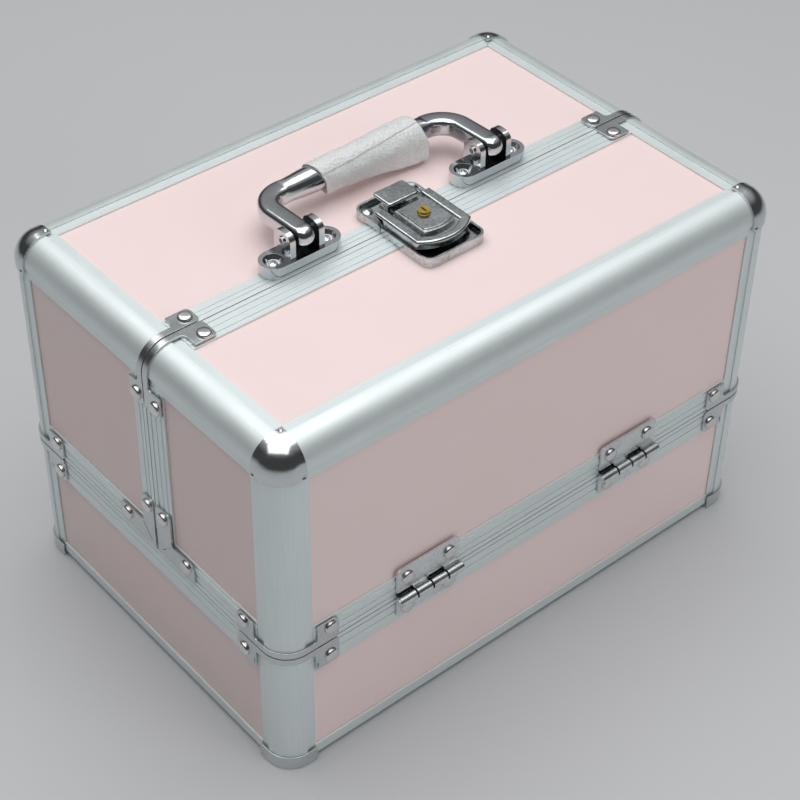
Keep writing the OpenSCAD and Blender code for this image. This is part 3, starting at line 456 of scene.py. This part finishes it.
head_radius = 3.6 * MM
dome_height = 1.7 * MM
dome_flatness = 3.2


def loose_shapes(name):
    """The lowest and highest corner of each loose solid of a node."""
    shape = bmesh.new()
    shape.from_mesh(nodes[name].data)
    bmesh.ops.remove_doubles(shape, verts=shape.verts, dist=weld_distance)
    left = set(shape.verts)
    found = []
    while left:
        reached = [left.pop()]
        for vert in reached:
            for edge in vert.link_edges:
                other = edge.other_vert(vert)
                if other in left:
                    left.remove(other)
                    reached.append(other)
        spots = [vert.co for vert in reached]
        low, high = ([pick(co[i] for co in spots) for i in range(3)] for pick in (min, max))
        found.append([Vector(low), Vector(high)])
    shape.free()
    return sorted(found, key=lambda ends: tuple(round(value, 5) for value in ends[0]))


def head_places(name, dome):
    """Where each rivet head of a node sits, and the way that it faces."""
    seats, ways = [], []
    for low, high in loose_shapes(name):
        size = high - low
        axis = min(range(3), key=lambda i: size[i])
        middle = (low + high) / 2
        out = 1.0 if axis == 2 or middle[axis] > 0 else -1.0
        middle[axis] = (high[axis] if out > 0 else low[axis]) - out * dome
        seats.append(middle)
        ways.append([out if i == axis else 0.0 for i in range(3)])
    return seats, ways


def rivet_head_tree():
    """A plump disc with a turned lip, set on every point along its stored way."""
    tree = bpy.data.node_groups.new("rivet_heads", "GeometryNodeTree")
    tree.interface.new_socket("Geometry", in_out="INPUT", socket_type="NodeSocketGeometry")
    sizes = {"Head Radius": head_radius, "Dome Height": dome_height, "Flatness": dome_flatness}
    for name, value in sizes.items():
        socket = tree.interface.new_socket(name, in_out="INPUT", socket_type="NodeSocketFloat")
        socket.default_value = value
    tree.interface.new_socket("Plating", in_out="INPUT", socket_type="NodeSocketMaterial")
    tree.interface.new_socket("Geometry", in_out="OUTPUT", socket_type="NodeSocketGeometry")
    given = tree.nodes.new("NodeGroupInput").outputs
    ball = add(tree, "GeometryNodeMeshUVSphere", {"Segments": 32, "Rings": 20, "Radius": 1.0})
    position = tree.nodes.new("GeometryNodeInputPosition").outputs[0]
    place = add(tree, "ShaderNodeSeparateXYZ", {0: position}).outputs
    squares = [math_node(tree, "MULTIPLY", place[i], place[i]) for i in (0, 1)]
    across = math_node(tree, "SQRT", math_node(tree, "ADD", *squares))
    across = math_node(tree, "MINIMUM", across, 1.0)
    fall = math_node(tree, "SUBTRACT", 1.0, math_node(tree, "POWER", across, given["Flatness"]))
    root = math_node(tree, "DIVIDE", 1.0, given["Flatness"])
    rise = math_node(tree, "POWER", math_node(tree, "MAXIMUM", fall, 0.0), root)
    rise = math_node(tree, "MULTIPLY", rise, math_node(tree, "SIGN", place[2]))
    height = math_node(tree, "MULTIPLY", rise, given["Dome Height"])
    wide = math_node(tree, "MULTIPLY", place[0], given["Head Radius"])
    deep = math_node(tree, "MULTIPLY", place[1], given["Head Radius"])
    spot = add(tree, "ShaderNodeCombineXYZ", {0: wide, 1: deep, 2: height})
    formed = add(
        tree,
        "GeometryNodeSetPosition",
        {"Geometry": ball.outputs["Mesh"], "Position": spot.outputs[0]},
    )
    smooth = add(tree, "GeometryNodeSetShadeSmooth", {"Geometry": formed.outputs[0]})
    way = add(tree, "GeometryNodeInputNamedAttribute", {"Name": "way"}, data_type="FLOAT_VECTOR")
    turn = add(
        tree, "FunctionNodeAlignRotationToVector", {"Vector": way.outputs["Attribute"]}, axis="Z"
    )
    heads = add(
        tree,
        "GeometryNodeInstanceOnPoints",
        {"Points": given["Geometry"], "Instance": smooth.outputs[0], "Rotation": turn.outputs[0]},
    )
    real = add(tree, "GeometryNodeRealizeInstances", {"Geometry": heads.outputs[0]})
    plated = add(
        tree,
        "GeometryNodeSetMaterial",
        {"Geometry": real.outputs[0], "Material": given["Plating"]},
    )
    tree.links.new(plated.outputs[0], tree.nodes.new("NodeGroupOutput").inputs[0])
    return tree


def settled(piece):
    """A piece's modifiers worked into a plain mesh, under the same name."""
    name = piece.name
    finished = piece.evaluated_get(bpy.context.evaluated_depsgraph_get())
    made = bpy.data.meshes.new_from_object(finished)
    bpy.data.objects.remove(piece)
    made.name = name
    plain = bpy.data.objects.new(name, made)
    bpy.context.scene.collection.objects.link(plain)
    return plain


rivet_plating = plated_material("plated_rivets", (0.72, 0.71, 0.71), 0.16, 0.30, 2.0)
rivet_heads = rivet_head_tree()
for body in ("base", "front_lid", "rear_lid"):
    name = f"{body}_rivets"
    seats, ways = head_places(name, dome_height)
    points = bpy.data.meshes.new(f"{body}_rivet_heads")
    points.from_pydata(seats, [], [])
    stored = points.attributes.new("way", "FLOAT_VECTOR", "POINT")
    stored.data.foreach_set("vector", [value for way in ways for value in way])
    heads = bpy.data.objects.new(f"{body}_rivet_heads", points)
    bpy.context.scene.collection.objects.link(heads)
    setter = heads.modifiers.new("heads", "NODES")
    setter.node_group = rivet_heads
    for socket in rivet_heads.interface.items_tree:
        if socket.name == "Plating" and socket.in_out == "INPUT":
            setter[socket.identifier] = rivet_plating
    heads = settled(heads)
    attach(heads, body)
    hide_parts(name)


# ---- Hinges ----
# Plated steel leaves, two pairs on each long face. Tongues of each leaf are rolled round the pin,
# with clear gaps between them and slots in the leaf behind the other leaf's tongues. The faces in
# the gaps and slots carry a painted shade.

hinge_steel = (0.72, 0.75, 0.76)
hinge_plating = plated_material("plated_hinge_steel", hinge_steel, 0.22, 0.34, 3.0, mottle=0.2)


def plain_piece(name, mesh):
    """An object in the scene for a mesh made in place."""
    piece = bpy.data.objects.new(name, mesh)
    bpy.context.scene.collection.objects.link(piece)
    return piece


def block(name, outline, low, high):
    """A solid with an outline in Y and Z, from low to high along X."""
    shape = bmesh.new()
    ends = [[shape.verts.new((x, y, z)) for y, z in outline] for x in (low, high)]
    for loop in ends:
        shape.faces.new(loop)
    for i, vert in enumerate(ends[0]):
        after = (i + 1) % len(outline)
        shape.faces.new([vert, ends[0][after], ends[1][after], ends[1][i]])
    bmesh.ops.recalc_face_normals(shape, faces=shape.faces)
    mesh = bpy.data.meshes.new(name)
    shape.to_mesh(mesh)
    shape.free()
    return plain_piece(name, mesh)


def box_tool(name, low, high):
    """A block between two corners."""
    outline = [(low.y, low.z), (high.y, low.z), (high.y, high.z), (low.y, high.z)]
    return block(name, outline, low.x, high.x)


def cut_or_join(piece, tools):
    """A piece with its tools taken away or joined on in turn, as a plain mesh."""
    for tool, operation in tools:
        step = piece.modifiers.new(tool.name, "BOOLEAN")
        step.operation = operation
        step.solver = "EXACT"
        step.object = tool
    piece = settled(piece)
    for tool, _ in tools:
        bpy.data.objects.remove(tool)
    return piece


def painted_shade_recess_material():
    """Painted shade for faces down in a recess: near black metal with a sandy bump and a few pale
    specks.
    """
    material, tree, shader = new_material("painted_shade_recess", (0.05, 0.052, 0.054), 0.5, 0.7)
    place = add(tree, "ShaderNodeTexCoord").outputs["Object"]
    worn = use_group(tree, marks, {"Vector": place, "Patch Scale": 260.0, "Speck Scale": 1700.0})
    specks = math_node(tree, "GREATER_THAN", worn["Specks"], 0.66)
    color_to(tree, shader, specks, (0.03, 0.032, 0.034), (0.35, 0.37, 0.38))
    tree.links.new(spread(tree, worn["Patches"], 0.4, 0.65), shader.inputs["Roughness"])
    bump_to(tree, shader, worn["Specks"], 0.5, 0.12)
    return material


painted_shade_recess = painted_shade_recess_material()


def paint_shade_within(mesh, rooms):
    """Gives the painted shade to faces that lie in or on any of the rooms, each a pair of corners.
    """
    slack = Vector((0.01, 0.01, 0.01)) * MM
    mesh.materials.append(painted_shade_recess)
    for face in mesh.polygons:
        for low, high in rooms:
            if all(l <= c <= h for l, c, h in zip(low - slack, face.center, high + slack)):
                face.material_index = 1


def joined_copy(name, node):
    """A node's own shape as one closed skin, for a piece that goes on from it."""
    shape = bmesh.new()
    shape.from_mesh(nodes[node].data)
    bmesh.ops.remove_doubles(shape, verts=shape.verts, dist=weld_distance)
    mesh = bpy.data.meshes.new(name)
    shape.to_mesh(mesh)
    shape.free()
    return plain_piece(name, mesh)


def hinge_piece(half, level, body):
    """One pair of leaves of a long face, with its gaps and slots cut."""
    node = f"{half}_hinge_{level}_leaves"
    leaf, count, gap, skin = 37.0 * MM, 4, 1.0 * MM, 0.2 * MM
    roll, clear, pitch = 2.7 * MM, 4 * MM, leaf / count
    if level == "upper":
        behind, wide, bottom, top = (0, 2), pitch, 1.9 * MM, 4.3 * MM
    else:
        behind, wide, bottom, top = (1, 3), 2.6 * MM, -4.0 * MM, -1.9 * MM
    low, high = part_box(node)
    out = -1 if half == "front" else 1
    back = (high.y if out < 0 else low.y) + out * skin
    rooms = []
    for pin_low, pin_high in loose_shapes(f"{half}_hinge_pins"):
        pin = (pin_low + pin_high) / 2
        start = pin.x - leaf / 2
        near, far = sorted((pin.y + out * clear, back))
        spans = []
        for i in range(1, count):
            seam = start + i * pitch
            spans.append((seam - gap / 2, seam + gap / 2, -roll, roll))
        for i in behind:
            spans.append((start + i * pitch, start + i * pitch + wide, bottom, top))
        for left, right, down, up in spans:
            rooms.append((Vector((left, near, pin.z + down)), Vector((right, far, pin.z + up))))
    tools = []
    for i, (near, far) in enumerate(rooms):
        tools.append((box_tool(f"{node}_room_{i}", near, far), "DIFFERENCE"))
    bare = joined_copy(f"{half}_hinge_{level}_rolled", node)
    bare.data.materials.append(hinge_plating)
    leaves = cut_or_join(bare, tools)
    # The faces in the gaps and slots get a painted shade, dark where shade falls between the
    # tongues.
    paint_shade_within(leaves.data, rooms)
    rounded_edges(leaves, edge=0.18)
    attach(leaves, body)
    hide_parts(node)


for half in ("front", "rear"):
    hinge_piece(half, "lower", "base")
    hinge_piece(half, "upper", f"{half}_lid")
dress(["front_hinge_pins", "rear_hinge_pins"], hinge_plating, edge=0.2)


# ---- Latch ----
# Plated pressings: two pans, a cover that lifts, a plate with a brass key cylinder in its window,
# and a strike tab.

latch_steel = (0.56, 0.59, 0.60)
latch_plating = plated_material("plated_latch_steel", latch_steel, 0.10, 0.22, 6.0, mottle=0.45)
dress(["latch_base", "latch_catch_plate"], latch_plating, edge=0.35, segments=3)
cover_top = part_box("latch_lever")[1].z
tab_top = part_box("latch_catch_tab")[1].z
skin, step = 0.05 * MM, 0.2 * MM
for name, level, width in (
    ("latch_lever", cover_top - skin, 1.35),
    ("latch_lock_plate", cover_top + step, 0.55),
    ("latch_catch_tab", tab_top - skin, 1.1),
):
    dress([name], latch_plating, edge=0.2, segments=2, rim=(level, width))
dress(["latch_pins", "latch_catch_screws"], latch_plating)


def brass_material():
    """Plain turned brass with fine rings round the cylinder's axis."""
    material, tree, shader = new_material("turned_brass", (0.83, 0.62, 0.16), 0.22, 1.0)
    low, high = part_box("latch_key_cylinder")
    middle = (low + high) / 2
    place = add(tree, "ShaderNodeTexCoord").outputs["Object"]
    centred = add(tree, "ShaderNodeMapping", {"Vector": place, "Location": -middle}).outputs[0]
    rings = add(
        tree,
        "ShaderNodeTexWave",
        {"Vector": centred, "Scale": 900.0, "Distortion": 0.4},
        wave_type="RINGS",
        rings_direction="Z",
    ).outputs["Fac"]
    worn = use_group(tree, marks, {"Vector": place, "Patch Scale": 300.0, "Speck Scale": 2000.0})
    tree.links.new(spread(tree, worn["Patches"], 0.16, 0.3), shader.inputs["Roughness"])
    bump_to(tree, shader, rings, 0.2, 0.02)
    return material


dress(["latch_key_cylinder"], brass_material(), edge=0.3)


# ---- Handle ----
# Two cast brackets with rounded ears and a pocket between them, and a chromed zinc bar whose round
# noses turn on the pins. Packing film is left round the grip. The pocket's faces carry a painted
# shade.

pivot_height = 14.2 * MM
bracket_half_w = 7.3 * MM
handle_fall = math.radians(2.9)
bare_grip = 6.6

cast_chrome = plated_material("chromed_casting", (0.62, 0.64, 0.66), 0.07, 0.15, 3.0)
dress(["handle_pins", "handle_bracket_screws"], cast_chrome, edge=0.15)


def circle_outline(y, z, radius, count=40):
    """Points of a circle in Y and Z."""
    turns = [2 * math.pi * i / count for i in range(count)]
    return [(y + radius * math.cos(turn), z + radius * math.sin(turn)) for turn in turns]


def ear_outline(y, foot, pivot, half, rise):
    """A straight-sided ear with a full, slightly flattened round top."""
    power = 0.82
    points = [(y - half, foot), (y + half, foot)]
    for i in range(25):
        turn = math.pi * i / 24
        across, up = math.cos(turn), math.sin(turn)
        side = math.copysign(abs(across) ** power, across)
        points.append((y + half * side, pivot + rise * up**power))
    return points


def handle_bracket_piece():
    """The brackets: the built bases, with taller rounded ears and a pocket let in between them."""
    low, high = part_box("handle_brackets")
    pins = [(low + high) / 2 for low, high in loose_shapes("handle_pins")]
    base_top, gap, ear, rim, web = 6.0 * MM, 6.6 * MM, 3.1 * MM, 1.2 * MM, 1.4 * MM
    ear_half, ear_rise, ear_room = 6.0 * MM, 4.9 * MM, 9.75 * MM
    bore_r, bore_half, spare = 2.25 * MM, 12 * MM, 1 * MM
    strip = pins[0].z - pivot_height
    bare = joined_copy("handle_bracket_castings", "handle_brackets")
    bare.data.materials.append(cast_chrome)
    tools, rooms = [], []
    for side, pin in enumerate(pins):
        foot, top, clear = strip + web, strip + base_top, high.z + spare
        near, far = pin.y - bracket_half_w, pin.y + bracket_half_w
        low_end = Vector((pin.x - ear_room, near - spare, top))
        high_end = Vector((pin.x + ear_room, far + spare, clear))
        tools.append((box_tool(f"ear_room_{side}", low_end, high_end), "DIFFERENCE"))
        for way in (-1, 1):
            outline = ear_outline(pin.y, foot, pin.z, ear_half, ear_rise)
            ends = sorted((pin.x + way * gap, pin.x + way * (gap + ear)))
            tools.append((block(f"ear_{side}_{way}", outline, *ends), "UNION"))
        room = (Vector((pin.x - gap, near + rim, foot)), Vector((pin.x + gap, far - rim, clear)))
        tools.append((box_tool(f"pocket_{side}", *room), "DIFFERENCE"))
        rooms.append(room)
        bore = circle_outline(pin.y, pin.z, bore_r)
        ends = (pin.x - bore_half, pin.x + bore_half)
        tools.append((block(f"pin_bore_{side}", bore, *ends), "DIFFERENCE"))
    castings = cut_or_join(bare, tools)
    # The pocket's faces get a painted shade, dark where shade falls between the ears.
    paint_shade_within(castings.data, rooms)
    rounded_edges(castings, edge=0.3, segments=3)
    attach(castings, "rear_lid")
    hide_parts("handle_brackets")


def bar_section(half_w, half_h, corner):
    """Points round a rounded rectangle."""
    points = []
    for quarter, (right, up) in enumerate(((1, 1), (-1, 1), (-1, -1), (1, -1))):
        for step in range(8):
            turn = math.pi / 2 * (quarter + step / 7)
            points.append(
                (
                    right * (half_w - corner) + corner * math.cos(turn),
                    up * (half_h - corner) + corner * math.sin(turn),
                )
            )
    return points


def bar_stations():
    """Half of the bar, from a nose to the middle: place, turn and section, in the bar's plane."""
    half, reach, elbow = 56.5, 31.2, 13.0
    wide, tall, corner = 5.2, 4.7, 2.8
    grip, overhang, nose = bare_grip, 2.8, 5.1
    near_round = 6.45
    stations = []
    for degrees in (9, 22, 36, 50, 64, 77, 90):
        turn = math.radians(degrees)
        full = math.sin(turn)
        sharp = full**5
        w, h = wide * full**0.85, (tall + 0.25) * full
        tip = -overhang - nose * math.cos(turn)
        stations.append((half, tip, 0.0, w, h, min(w, h) * (0.97 - 0.22 * sharp)))
    stations.append((half, 1.0 - overhang, 0.0, wide, tall + 0.1, 3.2))
    stations.append((half, 3.0 - overhang, 0.0, wide, tall, corner))
    for i in range(17):
        turn = math.pi / 2 * i / 16
        place = (half - elbow + elbow * math.cos(turn), reach - elbow + elbow * math.sin(turn))
        stations.append((*place, turn, wide, tall, corner))
    shoulder = (
        (0.6, wide, tall, corner),
        (1.4, 5.3, 5.0, 3.6),
        (2.4, 5.4, 5.35, 4.6),
        (3.8, 5.55, 5.55, 5.3),
        (6.0, 5.75, 5.75, 5.6),
        (14.0, 6.35, 6.35, 6.2),
        (18.0, 6.55, 6.55, 6.4),
        (22.0, grip, grip, near_round),
    )
    for back, w, h, r in shoulder:
        stations.append((half - elbow - back, reach, math.pi / 2, w, h, r))
    stations.append((0.0, reach, math.pi / 2, grip, grip, near_round))
    return stations


def handle_bar_piece():
    """The bar, swept along its path, mirrored, tipped about the pins and bored for them."""
    pins = [(low + high) / 2 for low, high in loose_shapes("handle_pins")]
    middle = (pins[0] + pins[1]) / 2
    bore_r, bore_half = 2.3 * MM, 8 * MM
    half = bar_stations()
    whole = [(1, station) for station in half] + [(-1, station) for station in reversed(half[:-1])]
    shape = bmesh.new()
    rings = []
    for side, (x, y, turn, w, h, r) in whole:
        ring = []
        for across, up in bar_section(w, h, r):
            out, along = x + across * math.cos(turn), y + across * math.sin(turn)
            spot = Vector((side * out, along, up)) * MM
            spot.rotate(Matrix.Rotation(-handle_fall, 3, "X"))
            ring.append(shape.verts.new(middle + spot))
        rings.append(ring)
    for ring, after in zip(rings, rings[1:]):
        for i, vert in enumerate(ring):
            j = (i + 1) % len(ring)
            shape.faces.new([vert, ring[j], after[j], after[i]])
    shape.faces.new(rings[0])
    shape.faces.new(rings[-1])
    bmesh.ops.remove_doubles(shape, verts=shape.verts, dist=weld_distance)
    bmesh.ops.recalc_face_normals(shape, faces=shape.faces)
    mesh = bpy.data.meshes.new("handle_casting")
    shape.to_mesh(mesh)
    shape.free()
    mesh.materials.append(cast_chrome)
    tools = []
    for side, pin in enumerate(pins):
        bore = circle_outline(pin.y, pin.z, bore_r)
        ends = (pin.x - bore_half, pin.x + bore_half)
        tools.append((block(f"nose_bore_{side}", bore, *ends), "DIFFERENCE"))
    bar = cut_or_join(plain_piece("handle_casting", mesh), tools)
    rounded_edges(bar)
    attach(bar, "handle")
    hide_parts("handle_bar")


handle_bracket_piece()
handle_bar_piece()


def film_material():
    """Thin white foamed film with tiny bubbles, cloudy in patches."""
    material, tree, shader = new_material("foamed_packing_film", (0.72, 0.75, 0.76), 0.5)
    place = add(tree, "ShaderNodeTexCoord").outputs["Object"]
    cells = add(tree, "ShaderNodeTexVoronoi", {"Vector": place, "Scale": 950.0})
    bubbles = cells.outputs["Distance"]
    clouds = noise_value(tree, place, 165.0, 5, 0.62)
    cloudy = spread(tree, clouds, 0.0, 1.0)
    fine = noise_value(tree, place, 2200.0, 2)
    fleck = math_node(tree, "MULTIPLY", bubbles, 0.75)
    fleck = math_node(tree, "ADD", fleck, spread(tree, fine, -0.2, 0.35))
    shade = math_node(tree, "ADD", math_node(tree, "MULTIPLY", cloudy, 0.55), fleck)
    color_to(tree, shader, shade, (0.77, 0.86, 0.875), (0.975, 0.99, 0.99))
    tree.links.new(spread(tree, clouds, 0.22, 0.42), shader.inputs["Roughness"])
    shader.inputs["Subsurface Weight"].default_value = 0.65
    shader.inputs["Subsurface Scale"].default_value = 1.2 * MM
    shader.inputs["Subsurface Radius"].default_value = (1, 1, 1)
    relief = math_node(tree, "ADD", bubbles, math_node(tree, "MULTIPLY", clouds, 2.4))
    bump_to(tree, shader, relief, 0.8, 0.45)
    return material


def wave_at(*spot):
    """A smooth wave between -1 and 1 that is the same on every run."""
    return noise.noise(Vector(spot))


def film_radius(u, v, turn, ease):
    """The film's distance from the grip's middle, in millimetres, at u along it and v round it."""
    start_r, end_r = 7.5, 9.7
    lap_step, edge_press, least_gap = 0.38, 0.055, 0.4
    fold_at, fold_half = math.radians(500), math.radians(30)
    radius = start_r + (end_r - start_r) * ease + lap_step * v
    loose = (1 - math.cos(turn)) / 2
    flare = math.exp(-((u / 0.10) ** 2)) + 0.8 * math.exp(-(((1 - u) / 0.12) ** 2))
    fold = wave_at(u * 3.2, math.cos(turn) * 1.3, math.sin(turn) * 1.3 + 0.7 * u)
    crease = wave_at(u * 9 + 4, math.cos(turn + u) * 2.2, math.sin(turn + u) * 2.2)
    radius += (0.85 * fold + 0.5 * crease) * (0.35 + 0.65 * loose)
    radius += 0.55 * flare * math.sin(3 * turn + 1.1) * loose
    off = abs((turn - fold_at + math.pi) % (2 * math.pi) - math.pi) / fold_half
    radius += (1.6 + 1.4 * ease + 0.5 * fold) * max(0.0, 1 - off) ** 1.3
    radius = max(radius, bare_grip + least_gap + lap_step * v)
    return radius - edge_press * max(0.0, (v - 0.95) / 0.05)


def film_line(u, ribs, start, length):
    """One line of points round the film: place along the grip, turn, radius and sag, in metres."""
    first_turn, twist, lap = 22, 32, math.radians(392)
    line = []
    ease = u * u * (3 - 2 * u)
    sag = MM * (0.2 + 0.9 * ease)
    edge_wave = 2.5 * wave_at(u * 4.5, 2.0, 7.0)
    for j in range(ribs + 1):
        v = j / ribs
        turn = math.radians(first_turn - twist * u + edge_wave * abs(2 * v - 1)) + lap * v
        end = 9.0 if u > 0.5 else 3.0
        end_wave = 0.5 * wave_at(math.cos(turn) * 1.6, math.sin(turn) * 1.6, end) * abs(2 * u - 1)
        slant = -0.8 - 2.4 * math.cos(turn + math.radians(40))
        along = start + length * u + MM * (end_wave + slant)
        line.append((along, turn, MM * film_radius(u, v, turn, ease), sag))
    return line


def film_piece():
    """A sheet of film once round the grip with a lap, tight at one end and wide at the other."""
    low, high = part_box("handle_film")
    middle = (low + high) / 2
    thick, margin = 0.28 * MM, 1.0 * MM
    start, length = low.x + margin, high.x - low.x - 2 * margin
    rows, ribs = 96, 150
    grid = [film_line(i / rows, ribs, start, length) for i in range(rows + 1)]
    shape = bmesh.new()
    for skin in (0.0, thick):
        for line in grid:
            for along, turn, radius, sag in line:
                reach = radius - skin
                y = middle.y - reach * math.sin(turn)
                shape.verts.new((along, y, middle.z + reach * math.cos(turn) - sag))
    shape.verts.ensure_lookup_table()
    verts = shape.verts
    wide = ribs + 1
    count = (rows + 1) * wide
    for i in range(rows):
        for j in range(ribs):
            ring = [i * wide + j, i * wide + j + 1, (i + 1) * wide + j + 1, (i + 1) * wide + j]
            shape.faces.new([verts[k] for k in ring])
            shape.faces.new([verts[k + count] for k in reversed(ring)])
    edge = [j for j in range(ribs)] + [ribs + i * wide for i in range(rows)]
    edge += [rows * wide + ribs - j for j in range(ribs)] + [(rows - i) * wide for i in range(rows)]
    for k, here in enumerate(edge):
        after = edge[(k + 1) % len(edge)]
        corners = (here, here + count, after + count, after)
        shape.faces.new([verts[corner] for corner in corners])
    bmesh.ops.recalc_face_normals(shape, faces=shape.faces)
    area = sum(face.calc_area() for face in shape.faces) / 2
    mesh = bpy.data.meshes.new("grip_film")
    shape.to_mesh(mesh)
    shape.free()
    mesh.shade_smooth()
    mesh.materials.append(film_material())
    film = plain_piece("grip_film", mesh)
    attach(film, "handle")
    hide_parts("handle_film")


film_piece()


# ---- Trays and link arms ----
# Moulded trays with dividers hang between the lids and plated link arms on short studs.


def tray_material():
    """Dark moulded plastic with a fine spark-eroded grain."""
    material, tree, shader = new_material("moulded_tray_plastic", (0.05, 0.05, 0.055), 0.5)
    place = add(tree, "ShaderNodeTexCoord").outputs["Object"]
    worn = use_group(tree, marks, {"Vector": place, "Patch Scale": 25.0, "Speck Scale": 1400.0})
    tree.links.new(spread(tree, worn["Patches"], 0.42, 0.56), shader.inputs["Roughness"])
    bump_to(tree, shader, worn["Specks"], 0.35, 0.08)
    return material


trays = [f"{half}_{level}_tray" for half in ("front", "rear") for level in ("lower", "upper")]
dress(trays, tray_material(), edge=0.5, segments=3)
arm_plating = plated_material("plated_link_steel", (0.62, 0.63, 0.64), 0.2, 0.32, 2.0)
dress(["front_link_arms", "rear_link_arms"], arm_plating, edge=0.2)
dress(["base_arm_studs", "front_lid_tray_studs", "rear_lid_tray_studs"], arm_plating)


# ---- Floor, lights and camera ----
# A pale floor, a large soft lamp overhead, and a fill at the front.


def floor_piece():
    """A wide pale sheet under the case."""
    reach = 20.0
    mesh = bpy.data.meshes.new("studio_floor")
    corners = [(-reach, -reach, 0), (reach, -reach, 0), (reach, reach, 0), (-reach, reach, 0)]
    mesh.from_pydata(corners, [], [(0, 1, 2, 3)])
    mesh.materials.append(new_material("studio_floor", (0.55, 0.56, 0.575), 0.7)[0])
    plain_piece("studio_floor", mesh)


def area_lamp(name, place, target, size, power, mirrored=True):
    """A square soft lamp that faces the target, and shows in bright metal or not."""
    lamp = bpy.data.lights.new(name, "AREA")
    lamp.shape = "SQUARE"
    lamp.size = size
    lamp.energy = power
    holder = bpy.data.objects.new(name, lamp)
    holder.location = place
    holder.rotation_euler = (Vector(target) - Vector(place)).to_track_quat("-Z", "Y").to_euler()
    holder.visible_glossy = mirrored
    bpy.context.scene.collection.objects.link(holder)


def studio_world():
    """Soft light from above that fades towards the horizon, weakest in front."""
    world = bpy.data.worlds.new("studio")
    world.use_nodes = True
    tree = world.node_tree
    ground = tree.nodes["Background"]
    brightest_way, dim, bright = (0.16, 0.19, 1.0), 0.06, 0.75
    way = add(tree, "ShaderNodeTexCoord").outputs["Generated"]
    height = add(tree, "ShaderNodeVectorMath", {0: way, 1: brightest_way}, operation="DOT_PRODUCT")
    inputs = {"Value": height.outputs["Value"], "From Min": 0.5, "From Max": 1.1}
    ramp = add(tree, "ShaderNodeMapRange", {**inputs, "To Min": dim, "To Max": bright})
    ground.inputs["Color"].default_value = (0.98, 0.99, 1.0, 1)
    tree.links.new(ramp.outputs[0], ground.inputs["Strength"])
    bpy.context.scene.world = world


floor_piece()
studio_world()
centre = (0, 0, 0.1)
area_lamp("overhead", (-0.1, 0.1, 1.6), centre, size=2.0, power=21)
area_lamp("front_fill", (0.6, -2.2, 0.9), centre, size=1.4, power=12, mirrored=False)

camera = bpy.data.cameras.new("camera")
camera.sensor_width = 36
camera.lens = 88.9
camera_holder = bpy.data.objects.new("camera", camera)
stand = Vector((-0.4881, -0.5692, 0.7337))
aim = Vector((-0.0128, -0.0190, 0.1))
tilt = math.radians(1.04)
level = (aim - stand).to_track_quat("-Z", "Y").to_matrix().to_4x4()
camera_holder.matrix_world = Matrix.Translation(stand) @ level @ Matrix.Rotation(tilt, 4, "Z")
bpy.context.scene.collection.objects.link(camera_holder)
bpy.context.scene.camera = camera_holder
bpy.context.scene.view_settings.view_transform = "Standard"
